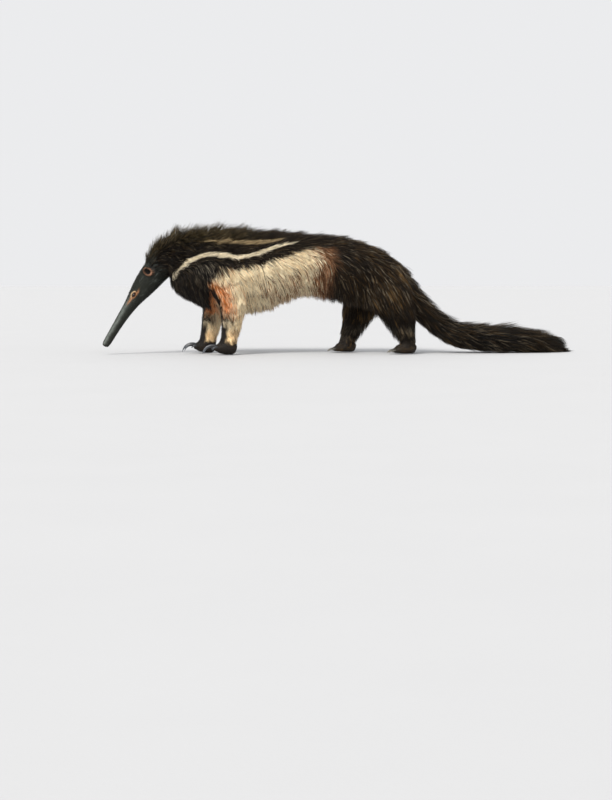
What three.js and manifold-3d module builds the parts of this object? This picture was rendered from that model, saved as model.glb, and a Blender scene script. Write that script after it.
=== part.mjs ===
// A giant anteater, life size, standing with its head lowered and its tail laid along the floor.
// Millimetres. The nose points to -X, the animal's left side to -Y, and the floor is Z = 0.

import * as THREE from "three";
import { mergeVertices } from "three/addons/utils/BufferGeometryUtils.js";
import Module from "manifold-3d";

const wasm = await Module();
wasm.setup();
const { Manifold, Mesh: SolidMesh } = wasm;

// Driving dimensions
const GAP = 0.3; // between pieces that meet face to face
const HEAD_LENGTH = 365; // back of the skull to the tip of the snout
const HEAD_PITCH = THREE.MathUtils.degToRad(54); // the snout's slope below the horizontal
const NAPE = new THREE.Vector3(-548, 0, 332); // centre of the back of the skull
const EYE_RADIUS = 8;
const EAR_RADIUS = 19;
const STANCE = 88; // each paw's distance from the middle plane
const FAR_REACH = 10000; // larger than the animal, for the solids that cut it
const LOCK_SINK = 9; // how deep the locks of hair are rooted
const LOCK_STEPS = 3; // straight stretches along a lock
const LOCK_FLATNESS = 0.34; // a lock's thickness as a share of its width

const SIDEWAYS = new THREE.Vector3(0, 1, 0);
const NOSEWARD = new THREE.Vector3(-Math.cos(HEAD_PITCH), 0, -Math.sin(HEAD_PITCH));
const CROWNWARD = new THREE.Vector3(-Math.sin(HEAD_PITCH), 0, Math.cos(HEAD_PITCH));

// A closed surface as a solid, turned the right way out.
function solidOf(geometry) {
  const bare = geometry.clone();
  bare.deleteAttribute("normal");
  bare.deleteAttribute("uv");
  const merged = mergeVertices(bare, 1e-4);
  const corners = merged.index.array;
  const faces = [];
  for (let i = 0; i < corners.length; i += 3) {
    const [a, b, c] = corners.slice(i, i + 3);
    if (a !== b && b !== c && c !== a) faces.push([a, b, c]);
  }
  const make = (triangles) =>
    new Manifold(
      new SolidMesh({
        numProp: 3,
        vertProperties: new Float32Array(merged.attributes.position.array),
        triVerts: new Uint32Array(triangles.flat()),
      }),
    );
  const solid = make(faces);
  return solid.volume() < 0 ? make(faces.map(([a, b, c]) => [a, c, b])) : solid;
}

// The largest closed body of a solid, without loose scraps.
function largest(solid) {
  return solid.decompose().reduce((best, body) => (body.volume() > best.volume() ? body : best));
}

// Moves every vertex of a cylinder or cone to place(share along it from its top, angle, radial share).
function bent(geometry, place) {
  const spots = geometry.attributes.position;
  for (let i = 0; i < spots.count; i++) {
    const [x, y, z] = [spots.getX(i), spots.getY(i), spots.getZ(i)];
    const at = place(0.5 - y, Math.atan2(x, z), Math.hypot(x, z));
    spots.setXYZ(i, at.x, at.y, at.z);
  }
  return geometry;
}

// A rounded body along a curved axis. Each station is [x, y, z, reach to its back, its front and each side].
// The back of a part that runs along +X is its top, and the back of a leg is its rear.
class Form {
  constructor(stations) {
    const curve = (first) =>
      new THREE.CatmullRomCurve3(
        stations.map((s) => new THREE.Vector3(...s.slice(first, first + 3))),
        false,
        "catmullrom",
      );
    this.axis = curve(0);
    this.reach = curve(3);
  }

  frame(u) {
    const along = this.axis.getTangent(u);
    const back = new THREE.Vector3().crossVectors(along, SIDEWAYS).normalize();
    const side = new THREE.Vector3().crossVectors(back, along).normalize();
    return { centre: this.axis.getPoint(u), along, back, side };
  }

  // The surface point at u along the axis and at this angle from its back towards +Y, raised by rise.
  point(u, angle, rise = 0, share = 1) {
    const { centre, back, side } = this.frame(u);
    const size = this.reach.getPoint(u);
    const depth = Math.cos(angle) > 0 ? size.x : size.y;
    return centre
      .addScaledVector(back, share * Math.cos(angle) * (depth + rise))
      .addScaledVector(side, share * Math.sin(angle) * (size.z + rise));
  }

  normal(u, angle) {
    const step = 0.01;
    const p = this.point(u, angle);
    const onward = this.point(Math.min(u + step, 1), angle).sub(this.point(Math.max(u - step, 0), angle));
    const around = this.point(u, angle + step).sub(this.point(u, angle - step));
    const out = new THREE.Vector3().crossVectors(around, onward).normalize();
    return out.dot(p.sub(this.axis.getPoint(u))) < 0 ? out.negate() : out;
  }

  solid(sides, steps, rise = 0) {
    const tube = new THREE.CylinderGeometry(1, 1, 1, sides, steps);
    return solidOf(bent(tube, (u, angle, share) => this.point(u, angle, rise, share)));
  }
}

// The body, from the back of the skull to the end of the tail
const neckForm = new Form([
  [NAPE.x - 12, 0, NAPE.z - 16, 50, 49, 48],
  [-534, 0, 350, 54, 58, 54],
  [-508, 0, 364, 70, 84, 64],
  [-470, 0, 364, 96, 114, 82],
  [-425, 0, 352, 118, 130, 104],
  [-375, 0, 336, 134, 134, 118],
]);
const torsoForm = new Form([
  [-455, 0, 345, 106, 112, 84],
  [-390, 0, 335, 134, 134, 114],
  [-312, 0, 327, 146, 142, 132],
  [-195, 0, 328, 142, 134, 140],
  [-78, 0, 345, 121, 102, 134],
  [39, 0, 352, 106, 86, 126],
  [156, 0, 337, 108, 100, 130],
  [268, 0, 302, 104, 100, 126],
  [350, 0, 262, 88, 80, 104],
  [410, 0, 222, 58, 54, 72],
]);
const tailForm = new Form([
  [330, 0, 288, 72, 70, 84],
  [384, 0, 248, 62, 60, 74],
  [434, 0, 206, 53, 50, 62],
  [488, 1, 158, 48, 46, 58],
  [540, 2, 114, 48, 48, 62],
  [600, 4, 78, 50, 54, 70],
  [680, 7, 62, 50, 58, 78],
  [780, 12, 56, 48, 56, 84],
  [870, 18, 50, 43, 52, 82],
  [955, 28, 40, 33, 42, 64],
  [1015, 37, 28, 21, 30, 40],
  [1040, 41, 18, 9, 14, 16],
]);

// The stations of each leg and its paw. side is -1 for the left leg and 1 for the right.
const forelegStations = (side, step) => [
  [-318, side * 62, 352, 74, 74, 50],
  [-300 + step * 0.2, side * 88, 290, 76, 74, 56],
  [-272 + step * 0.6, side * 98, 215, 58, 54, 46],
  [-270 + step * 0.9, side * 94, 145, 42, 40, 38],
  [-274 + step, side * STANCE, 82, 33, 33, 33],
  [-280 + step, side * STANCE, 28, 34, 36, 36],
];
const forepawStations = (side, step) => [
  [-246 + step, side * STANCE, 20, 14, 18, 20],
  [-262 + step, side * STANCE, 24, 24, 28, 34],
  [-292 + step, side * STANCE, 24, 24, 28, 38],
  [-312 + step, side * STANCE, 22, 18, 26, 34],
];
const hindlegStations = (side, knee, ankle) => [
  [296, side * 60, 300, 96, 96, 52],
  [(296 + knee) / 2, side * 84, 240, 88, 88, 60],
  [knee, side * 94, 172, 62, 60, 50],
  [(knee + ankle) / 2, side * 92, 108, 39, 38, 37],
  [ankle, side * STANCE, 52, 30, 31, 31],
  [ankle - 4, side * STANCE, 24, 30, 32, 32],
];
const hindpawStations = (side, ankle) => [
  [ankle + 32, side * STANCE, 16, 12, 16, 16],
  [ankle + 18, side * STANCE, 20, 19, 24, 28],
  [ankle - 16, side * STANCE, 19, 18, 22, 34],
  [ankle - 42, side * STANCE, 16, 13, 18, 36],
];

// Each leg, with the planes before and behind it that part it from the trunk: [normal into the leg, a point]
const LEGS = [
  {
    name: "foreleg_left",
    side: -1,
    fore: true,
    step: -8,
    before: [[1, 0, 0.1], [-425, 0, 200]],
    behind: [[-1, 0, -0.16], [-178, 0, 200]],
  },
  {
    name: "foreleg_right",
    side: 1,
    fore: true,
    step: -78,
    before: [[1, 0, 0.1], [-425, 0, 200]],
    behind: [[-1, 0, -0.16], [-178, 0, 200]],
  },
  {
    name: "hindleg_left",
    side: -1,
    fore: false,
    knee: 372,
    ankle: 408,
    before: [[1, 0, 0.5], [200, 0, 300]],
    behind: [[-0.78, 0, -0.62], [430, 0, 196]],
  },
  {
    name: "hindleg_right",
    side: 1,
    fore: false,
    knee: 238,
    ankle: 196,
    before: [[1, 0, -0.35], [142, 0, 240]],
    behind: [[-1, 0, 0.4], [366, 0, 240]],
  },
];

const limbForm = (leg) =>
  new Form(
    leg.fore ? forelegStations(leg.side, leg.step) : hindlegStations(leg.side, leg.knee, leg.ankle),
  );

// The head, from the tip of the snout to the back of the skull
const headPlace = (distance, dip) =>
  NAPE.clone().addScaledVector(NOSEWARD, distance).addScaledVector(CROWNWARD, -dip);
const headForm = new Form(
  [
    [1, 10, 9, 8, 9],
    [0.985, 9, 15, 13, 14.5],
    [0.94, 8, 17.5, 15.5, 17],
    [0.83, 4, 18.5, 17.5, 18],
    [0.66, -1, 21, 20.5, 20.5],
    [0.5, -4, 25, 26, 25],
    [0.36, -5, 35, 34, 32],
    [0.22, -3, 46, 43, 43],
    [0.08, 0, 50, 46, 48],
    [-0.04, 0, 49, 47, 47],
  ].map(([share, dip, up, down, half]) => [...headPlace(share * HEAD_LENGTH, dip), up, down, half]),
);
const headSolid = (rise) => headForm.solid(22, 20, rise);
const HEAD_EYE = { u: 0.65, angle: 1.22 };
const HEAD_EAR = { u: 0.86, angle: 1.2 };

// A piece of shape geometry turned so that its Z axis points along outward, with its Y axis near up.
function placed(geometry, centre, outward, up) {
  const z = outward.clone().normalize();
  const x = new THREE.Vector3().crossVectors(up, z).normalize();
  const y = new THREE.Vector3().crossVectors(z, x);
  const turn = new THREE.Matrix4().makeBasis(x, y, z).setPosition(centre);
  return solidOf(geometry.clone().applyMatrix4(turn));
}

function eyePlace(side) {
  const angle = side * HEAD_EYE.angle;
  const outward = headForm.normal(HEAD_EYE.u, angle);
  const centre = headForm.point(HEAD_EYE.u, angle).addScaledVector(outward, -EYE_RADIUS * 0.42);
  return { centre, outward };
}

const eyeball = (side, rise) => {
  const { centre, outward } = eyePlace(side);
  return placed(new THREE.SphereGeometry(EYE_RADIUS + rise, 10, 7), centre, outward, NOSEWARD);
};

// The lids are one almond ring round the eyeball.
function lids(side) {
  const { centre, outward } = eyePlace(side);
  const ring = new THREE.TorusGeometry(EYE_RADIUS + 0.6, 2.8, 5, 14).scale(0.86, 1.22, 1);
  const seat = centre.clone().addScaledVector(outward, EYE_RADIUS * 0.42);
  return placed(ring, seat, outward, NOSEWARD);
}

// The ear is a round cup that stands off the side of the skull and opens sideways and forwards.
function ear(side) {
  const angle = side * HEAD_EAR.angle;
  const out = headForm.normal(HEAD_EAR.u, angle);
  const opening = new THREE.Vector3(0, side, 0)
    .addScaledVector(NOSEWARD, 0.45)
    .addScaledVector(CROWNWARD, 0.2);
  const centre = headForm
    .point(HEAD_EAR.u, angle)
    .addScaledVector(out, 5)
    .addScaledVector(NOSEWARD, -6)
    .addScaledVector(CROWNWARD, 6);
  const bowl = new THREE.SphereGeometry(1, 12, 7).scale(EAR_RADIUS * 0.86, EAR_RADIUS, 10);
  const hollow = new THREE.SphereGeometry(1, 10, 6).scale(EAR_RADIUS * 0.68, EAR_RADIUS * 0.82, 10);
  const lift = opening.clone().normalize().multiplyScalar(5);
  return largest(
    placed(bowl, centre, opening, CROWNWARD)
      .subtract(placed(hollow, centre.clone().add(lift), opening, CROWNWARD))
      .subtract(headSolid(GAP)),
  );
}

// A slab across the snout's tip at the height of the mouth, this thick.
function mouthSlab(length, thick) {
  const slab = new THREE.BoxGeometry(length, 80, thick);
  const centre = headPlace(HEAD_LENGTH - length / 2 + 4, 16);
  const turn = new THREE.Matrix4().makeBasis(NOSEWARD, SIDEWAYS.clone().negate(), CROWNWARD);
  return solidOf(slab.applyMatrix4(turn.setPosition(centre)));
}

function nostril(side) {
  const pit = new THREE.SphereGeometry(1, 8, 5).scale(2, 3.1, 4);
  const centre = headPlace(HEAD_LENGTH - 1, 5).addScaledVector(SIDEWAYS, side * 7);
  const outward = NOSEWARD.clone().addScaledVector(SIDEWAYS, side * 0.9);
  return placed(pit, centre, outward, CROWNWARD);
}

const NAPE_CUT = { normal: NOSEWARD, offset: NOSEWARD.dot(headPlace(12, 0)) };

function head() {
  const lips = headSolid(1).intersect(mouthSlab(40, 8));
  const mouth = mouthSlab(44, 1.3).subtract(headSolid(-2.6));
  let whole = Manifold.union([headSolid(0), lips, lids(-1), lids(1)]).subtract(mouth);
  for (const side of [-1, 1]) {
    whole = whole.subtract(nostril(side)).subtract(eyeball(side, GAP));
  }
  return largest(whole.trimByPlane(NAPE_CUT.normal.toArray(), NAPE_CUT.offset + GAP / 2));
}

// A claw bent along an arc: its root, heading on the floor, slope there, turn down, length and radius.
function claw({ root, heading, slope, turn, length, radius }) {
  const forward = new THREE.Vector3(Math.cos(heading), Math.sin(heading), 0);
  const side = new THREE.Vector3(-Math.sin(heading), Math.cos(heading), 0);
  const directed = (angle) => forward.clone().multiplyScalar(Math.cos(angle)).setZ(Math.sin(angle));
  const pace = 1 / 12;
  const curve = (t) => {
    const at = root.clone();
    for (let s = pace / 2; s < 1; s += pace) {
      at.addScaledVector(directed(slope - turn * s * t), length * t * pace);
    }
    return { at, up: directed(slope - turn * t + Math.PI / 2) };
  };
  const cone = new THREE.ConeGeometry(1, 1, 5, 4);
  return solidOf(
    bent(cone, (down, angle, share) => {
      const { at, up } = curve(1 - down);
      return at
        .addScaledVector(side, Math.sin(angle) * share * radius * 0.72)
        .addScaledVector(up, Math.cos(angle) * share * radius);
    }),
  );
}

// The claws of one paw from the inner side: place across the paw, length, root radius and set back.
const FORE_CLAWS = [
  { across: -27, length: 24, radius: 4.5, set: 4 },
  { across: -11, length: 56, radius: 8.5, set: 0 },
  { across: 9, length: 66, radius: 9.5, set: 0 },
  { across: 27, length: 26, radius: 5, set: 6 },
];
const HIND_CLAWS = [
  { across: -29, length: 20, radius: 3.8, set: 8 },
  { across: -15, length: 25, radius: 4.3, set: 2 },
  { across: 0, length: 26, radius: 4.5, set: 0 },
  { across: 15, length: 24, radius: 4.3, set: 3 },
  { across: 28, length: 19, radius: 3.8, set: 9 },
];

// The digits of a paw: each one's knuckle, where its claw is rooted, and the claw's course.
function digits(leg) {
  const front = leg.fore ? -326 + leg.step : leg.ankle - 58;
  const height = leg.fore ? 27 : 15;
  const slope = leg.fore ? 0.45 : 0.1;
  return (leg.fore ? FORE_CLAWS : HIND_CLAWS).map(({ across, length, radius, set }, i) => {
    const y = leg.side * (STANCE + across);
    const heading = Math.PI - leg.side * across * 0.006;
    const outward = new THREE.Vector3(Math.cos(heading), Math.sin(heading), Math.tan(slope)).normalize();
    const end = new THREE.Vector3(front + set, y, height + (leg.fore ? radius * 0.4 : 0));
    return {
      name: `claw_${leg.name}_${i + 1}`,
      knuckle: [front + 34 + set, y, height - 2],
      sole: leg.fore ? 24 : 15,
      end,
      outward,
      root: end.clone().addScaledVector(outward, GAP),
      heading,
      slope,
      turn: leg.fore ? 1.9 : 1.1,
      length,
      radius,
    };
  });
}

// A toe is a short rounded body from the paw to the flat face that its claw stands on.
function toe({ knuckle, sole, end, outward, radius }) {
  const before = end.clone().addScaledVector(outward, -8);
  const size = radius * 1.5;
  return new Form([
    [...knuckle, size, sole, size],
    [...before, radius + 4, radius + 5, radius + 3],
    [...end, radius + 2, radius + 2, radius + 1],
  ]).solid(6, 3);
}

function legCore(leg) {
  const paw = leg.fore ? forepawStations(leg.side, leg.step) : hindpawStations(leg.side, leg.ankle);
  return [limbForm(leg).solid(11, 8), new Form(paw).solid(9, 4), ...digits(leg).map(toe)];
}

// Random numbers that are the same each time
let seed = 7;
function spread(low, high) {
  seed = (seed * 16807) % 2147483647;
  return low + ((high - low) * seed) / 2147483647;
}

// The middle line of a lock of hair over a form's surface, with the way out of the surface at each point.
// lie is its direction: 0 along the form, a right angle down the flank. It climbs by lift and then hangs.
function lockLine(form, { u, angle, lie, length, lift, hang }) {
  const downward = Math.sign(angle) || 1;
  const pace = length / LOCK_STEPS;
  const step = 0.01;
  const line = [];
  let at = form.point(u, angle).addScaledVector(form.normal(u, angle), -LOCK_SINK);
  for (let i = 0; i <= LOCK_STEPS; i++) {
    const out = form.normal(u, angle);
    line.push({ at: at.clone(), out });
    const onward = form.point(Math.min(u + step, 1), angle).sub(form.point(Math.max(u - step, 0), angle));
    const around = form.point(u, angle + step).sub(form.point(u, angle - step)).multiplyScalar(downward);
    const [alongRate, aroundRate] = [onward.length() / step / 2, around.length() / step / 2];
    const climb = ((LOCK_SINK + lift) / length) * 2 * (1 - i / LOCK_STEPS);
    const heading = onward
      .normalize()
      .multiplyScalar(Math.cos(lie))
      .addScaledVector(around.normalize(), Math.sin(lie))
      .addScaledVector(out, climb);
    heading.z -= (hang * i) / LOCK_STEPS;
    at = at.clone().addScaledVector(heading.normalize(), pace);
    u = Math.min(u + (Math.cos(lie) * pace) / alongRate, 0.99);
    angle += (downward * Math.sin(lie) * pace) / aroundRate;
  }
  return line;
}

// A flat four-sided lock that tapers to its tip, with its wide way turned out of the surface by roll.
function lock(line, wide, roll) {
  const cone = new THREE.ConeGeometry(1, 1, 4, LOCK_STEPS);
  return solidOf(
    bent(cone, (down, angle, share) => {
      const i = Math.round((1 - down) * LOCK_STEPS);
      const [before, after] = [line[Math.max(i - 1, 0)].at, line[Math.min(i + 1, LOCK_STEPS)].at];
      const along = after.clone().sub(before).normalize();
      const across = new THREE.Vector3().crossVectors(along, line[i].out).normalize();
      across.applyAxisAngle(along, roll);
      const outward = new THREE.Vector3().crossVectors(across, along);
      const size = share * (0.62 + 1.75 * (1 - down)) * wide;
      return line[i].at
        .clone()
        .addScaledVector(across, Math.sin(angle) * size)
        .addScaledVector(outward, Math.cos(angle) * size * LOCK_FLATNESS);
    }),
  );
}

const plane = (normal, point) => {
  const n = new THREE.Vector3(...normal).normalize();
  return { normal: n, offset: n.dot(new THREE.Vector3(...point)) };
};

// What belongs to a leg: outside the middle plane, below the armpit's or groin's slope, between the planes
// before and behind it
const legPlanes = ({ side, fore, before, behind }) =>
  [
    [[0, side, 0], [0, side * 18, 0]],
    [[0, side * 0.72, -0.7], [0, side * 34, fore ? 200 : 205]],
    [[-1, 0, 0], [452, 0, 100]],
    before,
    behind,
  ].map(([normal, point]) => plane(normal, point));

// The block that planes bound, grown outwards by grow
function region(planes, grow) {
  const block = solidOf(new THREE.BoxGeometry(FAR_REACH, FAR_REACH, FAR_REACH));
  return planes.reduce((left, p) => left.trimByPlane(p.normal.toArray(), p.offset - grow), block);
}

// Cuts across the body, with normals that point to the tail's end
const CUTS = [
  { normal: NAPE_CUT.normal.clone().negate(), offset: -NAPE_CUT.offset },
  plane([0.972, 0, -0.234], [-418, 0, 335]),
  plane([1, 0, 0], [-16, 0, 345]),
  plane([0.66, 0, -0.75], [404, 0, 230]),
  plane([0.9, 0, -0.44], [590, 0, 95]),
  plane([1, 0.08, 0], [830, 0, 45]),
];
const SPINE_NODES = ["neck", "torso_front", "torso_rear", "tail_base", "tail_middle", "tail_end"];

// Which node a point of the body belongs to
function nodeAt(point) {
  const leg = LEGS.find((l) => legPlanes(l).every((p) => p.normal.dot(point) > p.offset));
  return leg ? leg.name : SPINE_NODES[CUTS.filter((p) => p.normal.dot(point) > p.offset).length - 1];
}

// Bands of locks. Each runs along a form from one share of it to another, at an angle round it on both
// sides; then come how many locks on a side, their length, half width, lie, lift at the tip, hang and roll.
const TRUNK_BANDS = [
  // form, from, to, angle, count, length, wide, lie, lift, hang, roll
  [neckForm, 0.12, 0.8, 0.12, 4, 84, 20, 0.1, 26, 0, 0.8],
  [neckForm, 0.16, 0.84, 0.75, 3, 86, 24, 0.45, 20, 0, 0.2],
  [neckForm, 0.14, 0.8, 1.4, 3, 86, 26, 0.6, 18, 0.2, 0],
  [neckForm, 0.2, 0.84, 2.1, 3, 82, 25, 0.5, 18, 0.5, 0],
  [neckForm, 0.24, 0.7, 2.85, 2, 78, 25, 0.2, 16, 0.6, 0],
  [torsoForm, 0.1, 0.96, 0.09, 8, 122, 25, 0.06, 21, 0, 0.85],
  [torsoForm, 0.1, 0.94, 0.68, 9, 124, 29, 0.4, 15, 0, 0.2],
  [torsoForm, 0.08, 0.95, 1.24, 9, 124, 31, 0.65, 14, 0.15, 0],
  [torsoForm, 0.12, 0.9, 1.78, 8, 116, 30, 0.95, 14, 0.6, 0],
  [torsoForm, 0.22, 0.66, 2.3, 6, 88, 27, 0.9, 18, 1.6, 0],
];
const TAIL_BANDS = [
  [tailForm, 0.2, 0.93, 0.2, 7, 134, 24, 0.05, 20, 0, 0.4],
  [tailForm, 0.16, 0.95, 0.9, 7, 138, 28, 0.1, 20, 0, 0.1],
  [tailForm, 0.2, 0.96, 1.5, 7, 140, 29, 0.1, 24, 0, 0],
];
const legBands = (leg) => {
  const form = limbForm(leg);
  return leg.fore
    ? [
        [form, 0.2, 0.5, leg.side * 0.45, 2, 98, 23, 0, 20, 0.3, 0],
        [form, 0.2, 0.46, leg.side * 1.35, 2, 94, 26, 0, 12, 0.3, 0],
        [torsoForm, 0.09, 0.27, leg.side * 1.75, 2, 84, 27, 0.9, 12, 0.6, 0],
      ]
    : [
        [form, 0.16, 0.5, leg.side * 0.5, 3, 100, 24, 0, 18, 0.4, 0],
        [form, 0.2, 0.5, leg.side * 1.3, 3, 96, 27, 0, 12, 0.3, 0],
        [form, 0.24, 0.46, leg.side * 2.1, 2, 88, 25, 0, 12, 0.3, 0],
      ];
};

// Where a lock would cross into another node, its root moves along the form and its length is cut, in turn.
const TRIES = [
  { shift: 0, share: 1 },
  { shift: 0.03, share: 1 },
  { shift: -0.03, share: 0.9 },
  { shift: 0, share: 0.78 },
  { shift: -0.05, share: 0.78 },
];
const inOneNode = (line) => line.every(({ at }) => nodeAt(at) === nodeAt(line[0].at));

function bandLocks([form, from, to, angle, count, length, wide, lie, lift, hang, roll], sides) {
  return sides.flatMap((side) =>
    Array.from({ length: count }, (_, i) => {
      const u = from + ((to - from) * (i + spread(0.3, 0.7))) / count;
      const course = {
        angle: side * (angle + spread(-0.08, 0.08)),
        lie: lie + spread(-0.12, 0.12),
        lift,
        hang,
      };
      const [full, girth] = [length * spread(0.9, 1.12), wide * spread(0.92, 1.12)];
      const lines = TRIES.map(({ shift, share }) =>
        lockLine(form, { ...course, u: Math.max(u + shift, 0.02), length: full * share }),
      );
      const line = lines.find(inOneNode);
      return line ? [lock(line, girth, side * roll)] : [];
    }).flat(),
  );
}

const locks = () => [
  ...[...TRUNK_BANDS, ...TAIL_BANDS].flatMap((band) => bandLocks(band, [-1, 1])),
  ...LEGS.flatMap((leg) => legBands(leg).flatMap((band) => bandLocks(band, [1]))),
];

// The whole body without the head, parted by thin cuts
function bodyNodes() {
  const spine = [neckForm.solid(20, 8), torsoForm.solid(22, 12), tailForm.solid(14, 14)];
  const cores = [...spine, ...LEGS.flatMap(legCore)];
  const whole = Manifold.union([...cores, ...locks()]).trimByPlane([0, 0, 1], 0);
  const found = {};
  let trunk = whole;
  for (const leg of LEGS) {
    found[leg.name] = largest(whole.intersect(region(legPlanes(leg), 0)));
    trunk = trunk.subtract(region(legPlanes(leg), GAP));
  }
  SPINE_NODES.forEach((name, i) => {
    const { normal, offset } = CUTS[i];
    let piece = trunk.trimByPlane(normal.toArray(), offset + GAP / 2);
    const end = CUTS[i + 1];
    if (end) piece = piece.trimByPlane(end.normal.clone().negate().toArray(), -end.offset + GAP / 2);
    found[name] = largest(piece);
  });
  return found;
}

const COLOURS = {
  coat_dark: [0x2a1e12, 0.85],
  coat_pale: [0xd9bd84, 0.85],
  head_skin: [0x1c211e, 0.7],
  ear_skin: [0xb98466, 0.7],
  eye: [0x0b0806, 0.1],
  claw: [0x1b1a18, 0.4],
};

function material(slot) {
  const [colour, roughness] = COLOURS[slot];
  return new THREE.MeshStandardMaterial({ color: colour, roughness, metalness: 0 });
}

function meshOf(name, solid, slot) {
  const { vertProperties, triVerts, numProp, numVert } = solid.getMesh();
  const spots = new Float32Array(numVert * 3);
  for (let i = 0; i < numVert; i++) spots.set(vertProperties.subarray(i * numProp, i * numProp + 3), i * 3);
  const geometry = new THREE.BufferGeometry()
    .setAttribute("position", new THREE.BufferAttribute(spots, 3))
    .setIndex(new THREE.BufferAttribute(triVerts, 1));
  geometry.computeVertexNormals();
  const mesh = new THREE.Mesh(geometry, material(slot));
  mesh.name = name;
  return mesh;
}

const anteater = new THREE.Group();
anteater.add(meshOf("head", head(), "head_skin"));
for (const [word, side] of [["left", -1], ["right", 1]]) {
  anteater.add(meshOf(`ear_${word}`, ear(side), "ear_skin"));
  anteater.add(meshOf(`eye_${word}`, eyeball(side, 0), "eye"));
}
for (const [name, solid] of Object.entries(bodyNodes())) {
  anteater.add(meshOf(name, solid, name.startsWith("foreleg") ? "coat_pale" : "coat_dark"));
}
for (const digit of LEGS.flatMap(digits)) {
  anteater.add(meshOf(digit.name, claw(digit), "claw"));
}

// The origin is under the middle of the animal's box, on the floor.
const box = new THREE.Box3().setFromObject(anteater);
const middle = box.getCenter(new THREE.Vector3());
anteater.position.set(-middle.x, -middle.y, -box.min.z);

export default anteater;
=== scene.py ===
import math

import bmesh
import bpy
import numpy as np
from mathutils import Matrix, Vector
from mathutils.bvhtree import BVHTree
from mathutils.kdtree import KDTree


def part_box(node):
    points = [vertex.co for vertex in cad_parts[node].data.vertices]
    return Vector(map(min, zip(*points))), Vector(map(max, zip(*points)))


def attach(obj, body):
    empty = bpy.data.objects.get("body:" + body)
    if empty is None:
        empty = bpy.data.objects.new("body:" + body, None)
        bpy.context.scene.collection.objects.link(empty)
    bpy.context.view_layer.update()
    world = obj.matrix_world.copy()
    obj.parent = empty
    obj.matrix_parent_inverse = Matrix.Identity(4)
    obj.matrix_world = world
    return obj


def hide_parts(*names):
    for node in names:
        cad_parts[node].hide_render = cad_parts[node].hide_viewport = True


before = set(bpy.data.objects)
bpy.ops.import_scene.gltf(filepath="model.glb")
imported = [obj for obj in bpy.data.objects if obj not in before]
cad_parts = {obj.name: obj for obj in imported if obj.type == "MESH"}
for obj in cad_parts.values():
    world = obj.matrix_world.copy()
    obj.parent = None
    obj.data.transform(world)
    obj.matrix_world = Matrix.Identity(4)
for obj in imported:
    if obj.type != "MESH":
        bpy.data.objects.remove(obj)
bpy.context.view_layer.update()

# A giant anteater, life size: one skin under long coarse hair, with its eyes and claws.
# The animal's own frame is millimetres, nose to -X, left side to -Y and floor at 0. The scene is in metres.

MM = 0.001
SEED = 11
rng = np.random.default_rng(SEED)

# Driving dimensions, in millimetres and radians, as in the solids
HEAD_LENGTH = 365
HEAD_PITCH = math.radians(54)
NAPE = np.array([-548.0, 0.0, 332.0])
EYE_RADIUS = 8
EAR_RADIUS = 19
STANCE = 88
SKIN_VOXEL = 3.6  # how fine the skin is made
SKIN_TRIANGLES = 185_000  # what is left of it after thinning the trunk
SOLE = 1.2  # the lowest that any hair reaches
PAW_TOP, PAWS_END = 60, 470  # the paws lie below this height and in front of this place

NOSEWARD = np.array([-math.cos(HEAD_PITCH), 0.0, -math.sin(HEAD_PITCH)])
CROWNWARD = np.array([-math.sin(HEAD_PITCH), 0.0, math.cos(HEAD_PITCH)])
SIDEWAYS, UPWARD = np.array([0.0, 1.0, 0.0]), np.array([0.0, 0.0, 1.0])


def unit(v):
    """Vectors of length one."""
    return v / np.maximum(np.linalg.norm(v, axis=-1, keepdims=True), 1e-9)


def soft(value, low, high):
    """0 below low, 1 above high, and a smooth change between."""
    share = np.clip((value - low) / (high - low), 0, 1)
    return share * share * (3 - 2 * share)


def hill(*offsets):
    """1 where every offset is 0, and less the further off."""
    return np.exp(-sum(offset**2 for offset in offsets))


def round_grid(rows, sides):
    """Each row's value, and angles round a full turn."""
    return np.meshgrid(rows, np.arange(sides) * 2 * math.pi / sides, indexing="ij")


def tube_quads(steps, sides):
    """The four-sided faces of a tube of rings."""
    k, j = np.meshgrid(np.arange(steps) * sides, np.arange(sides), indexing="ij")
    after = (j + 1) % sides
    return np.stack([k + j, k + after, k + sides + after, k + sides + j], -1).reshape(-1, 4)


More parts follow.
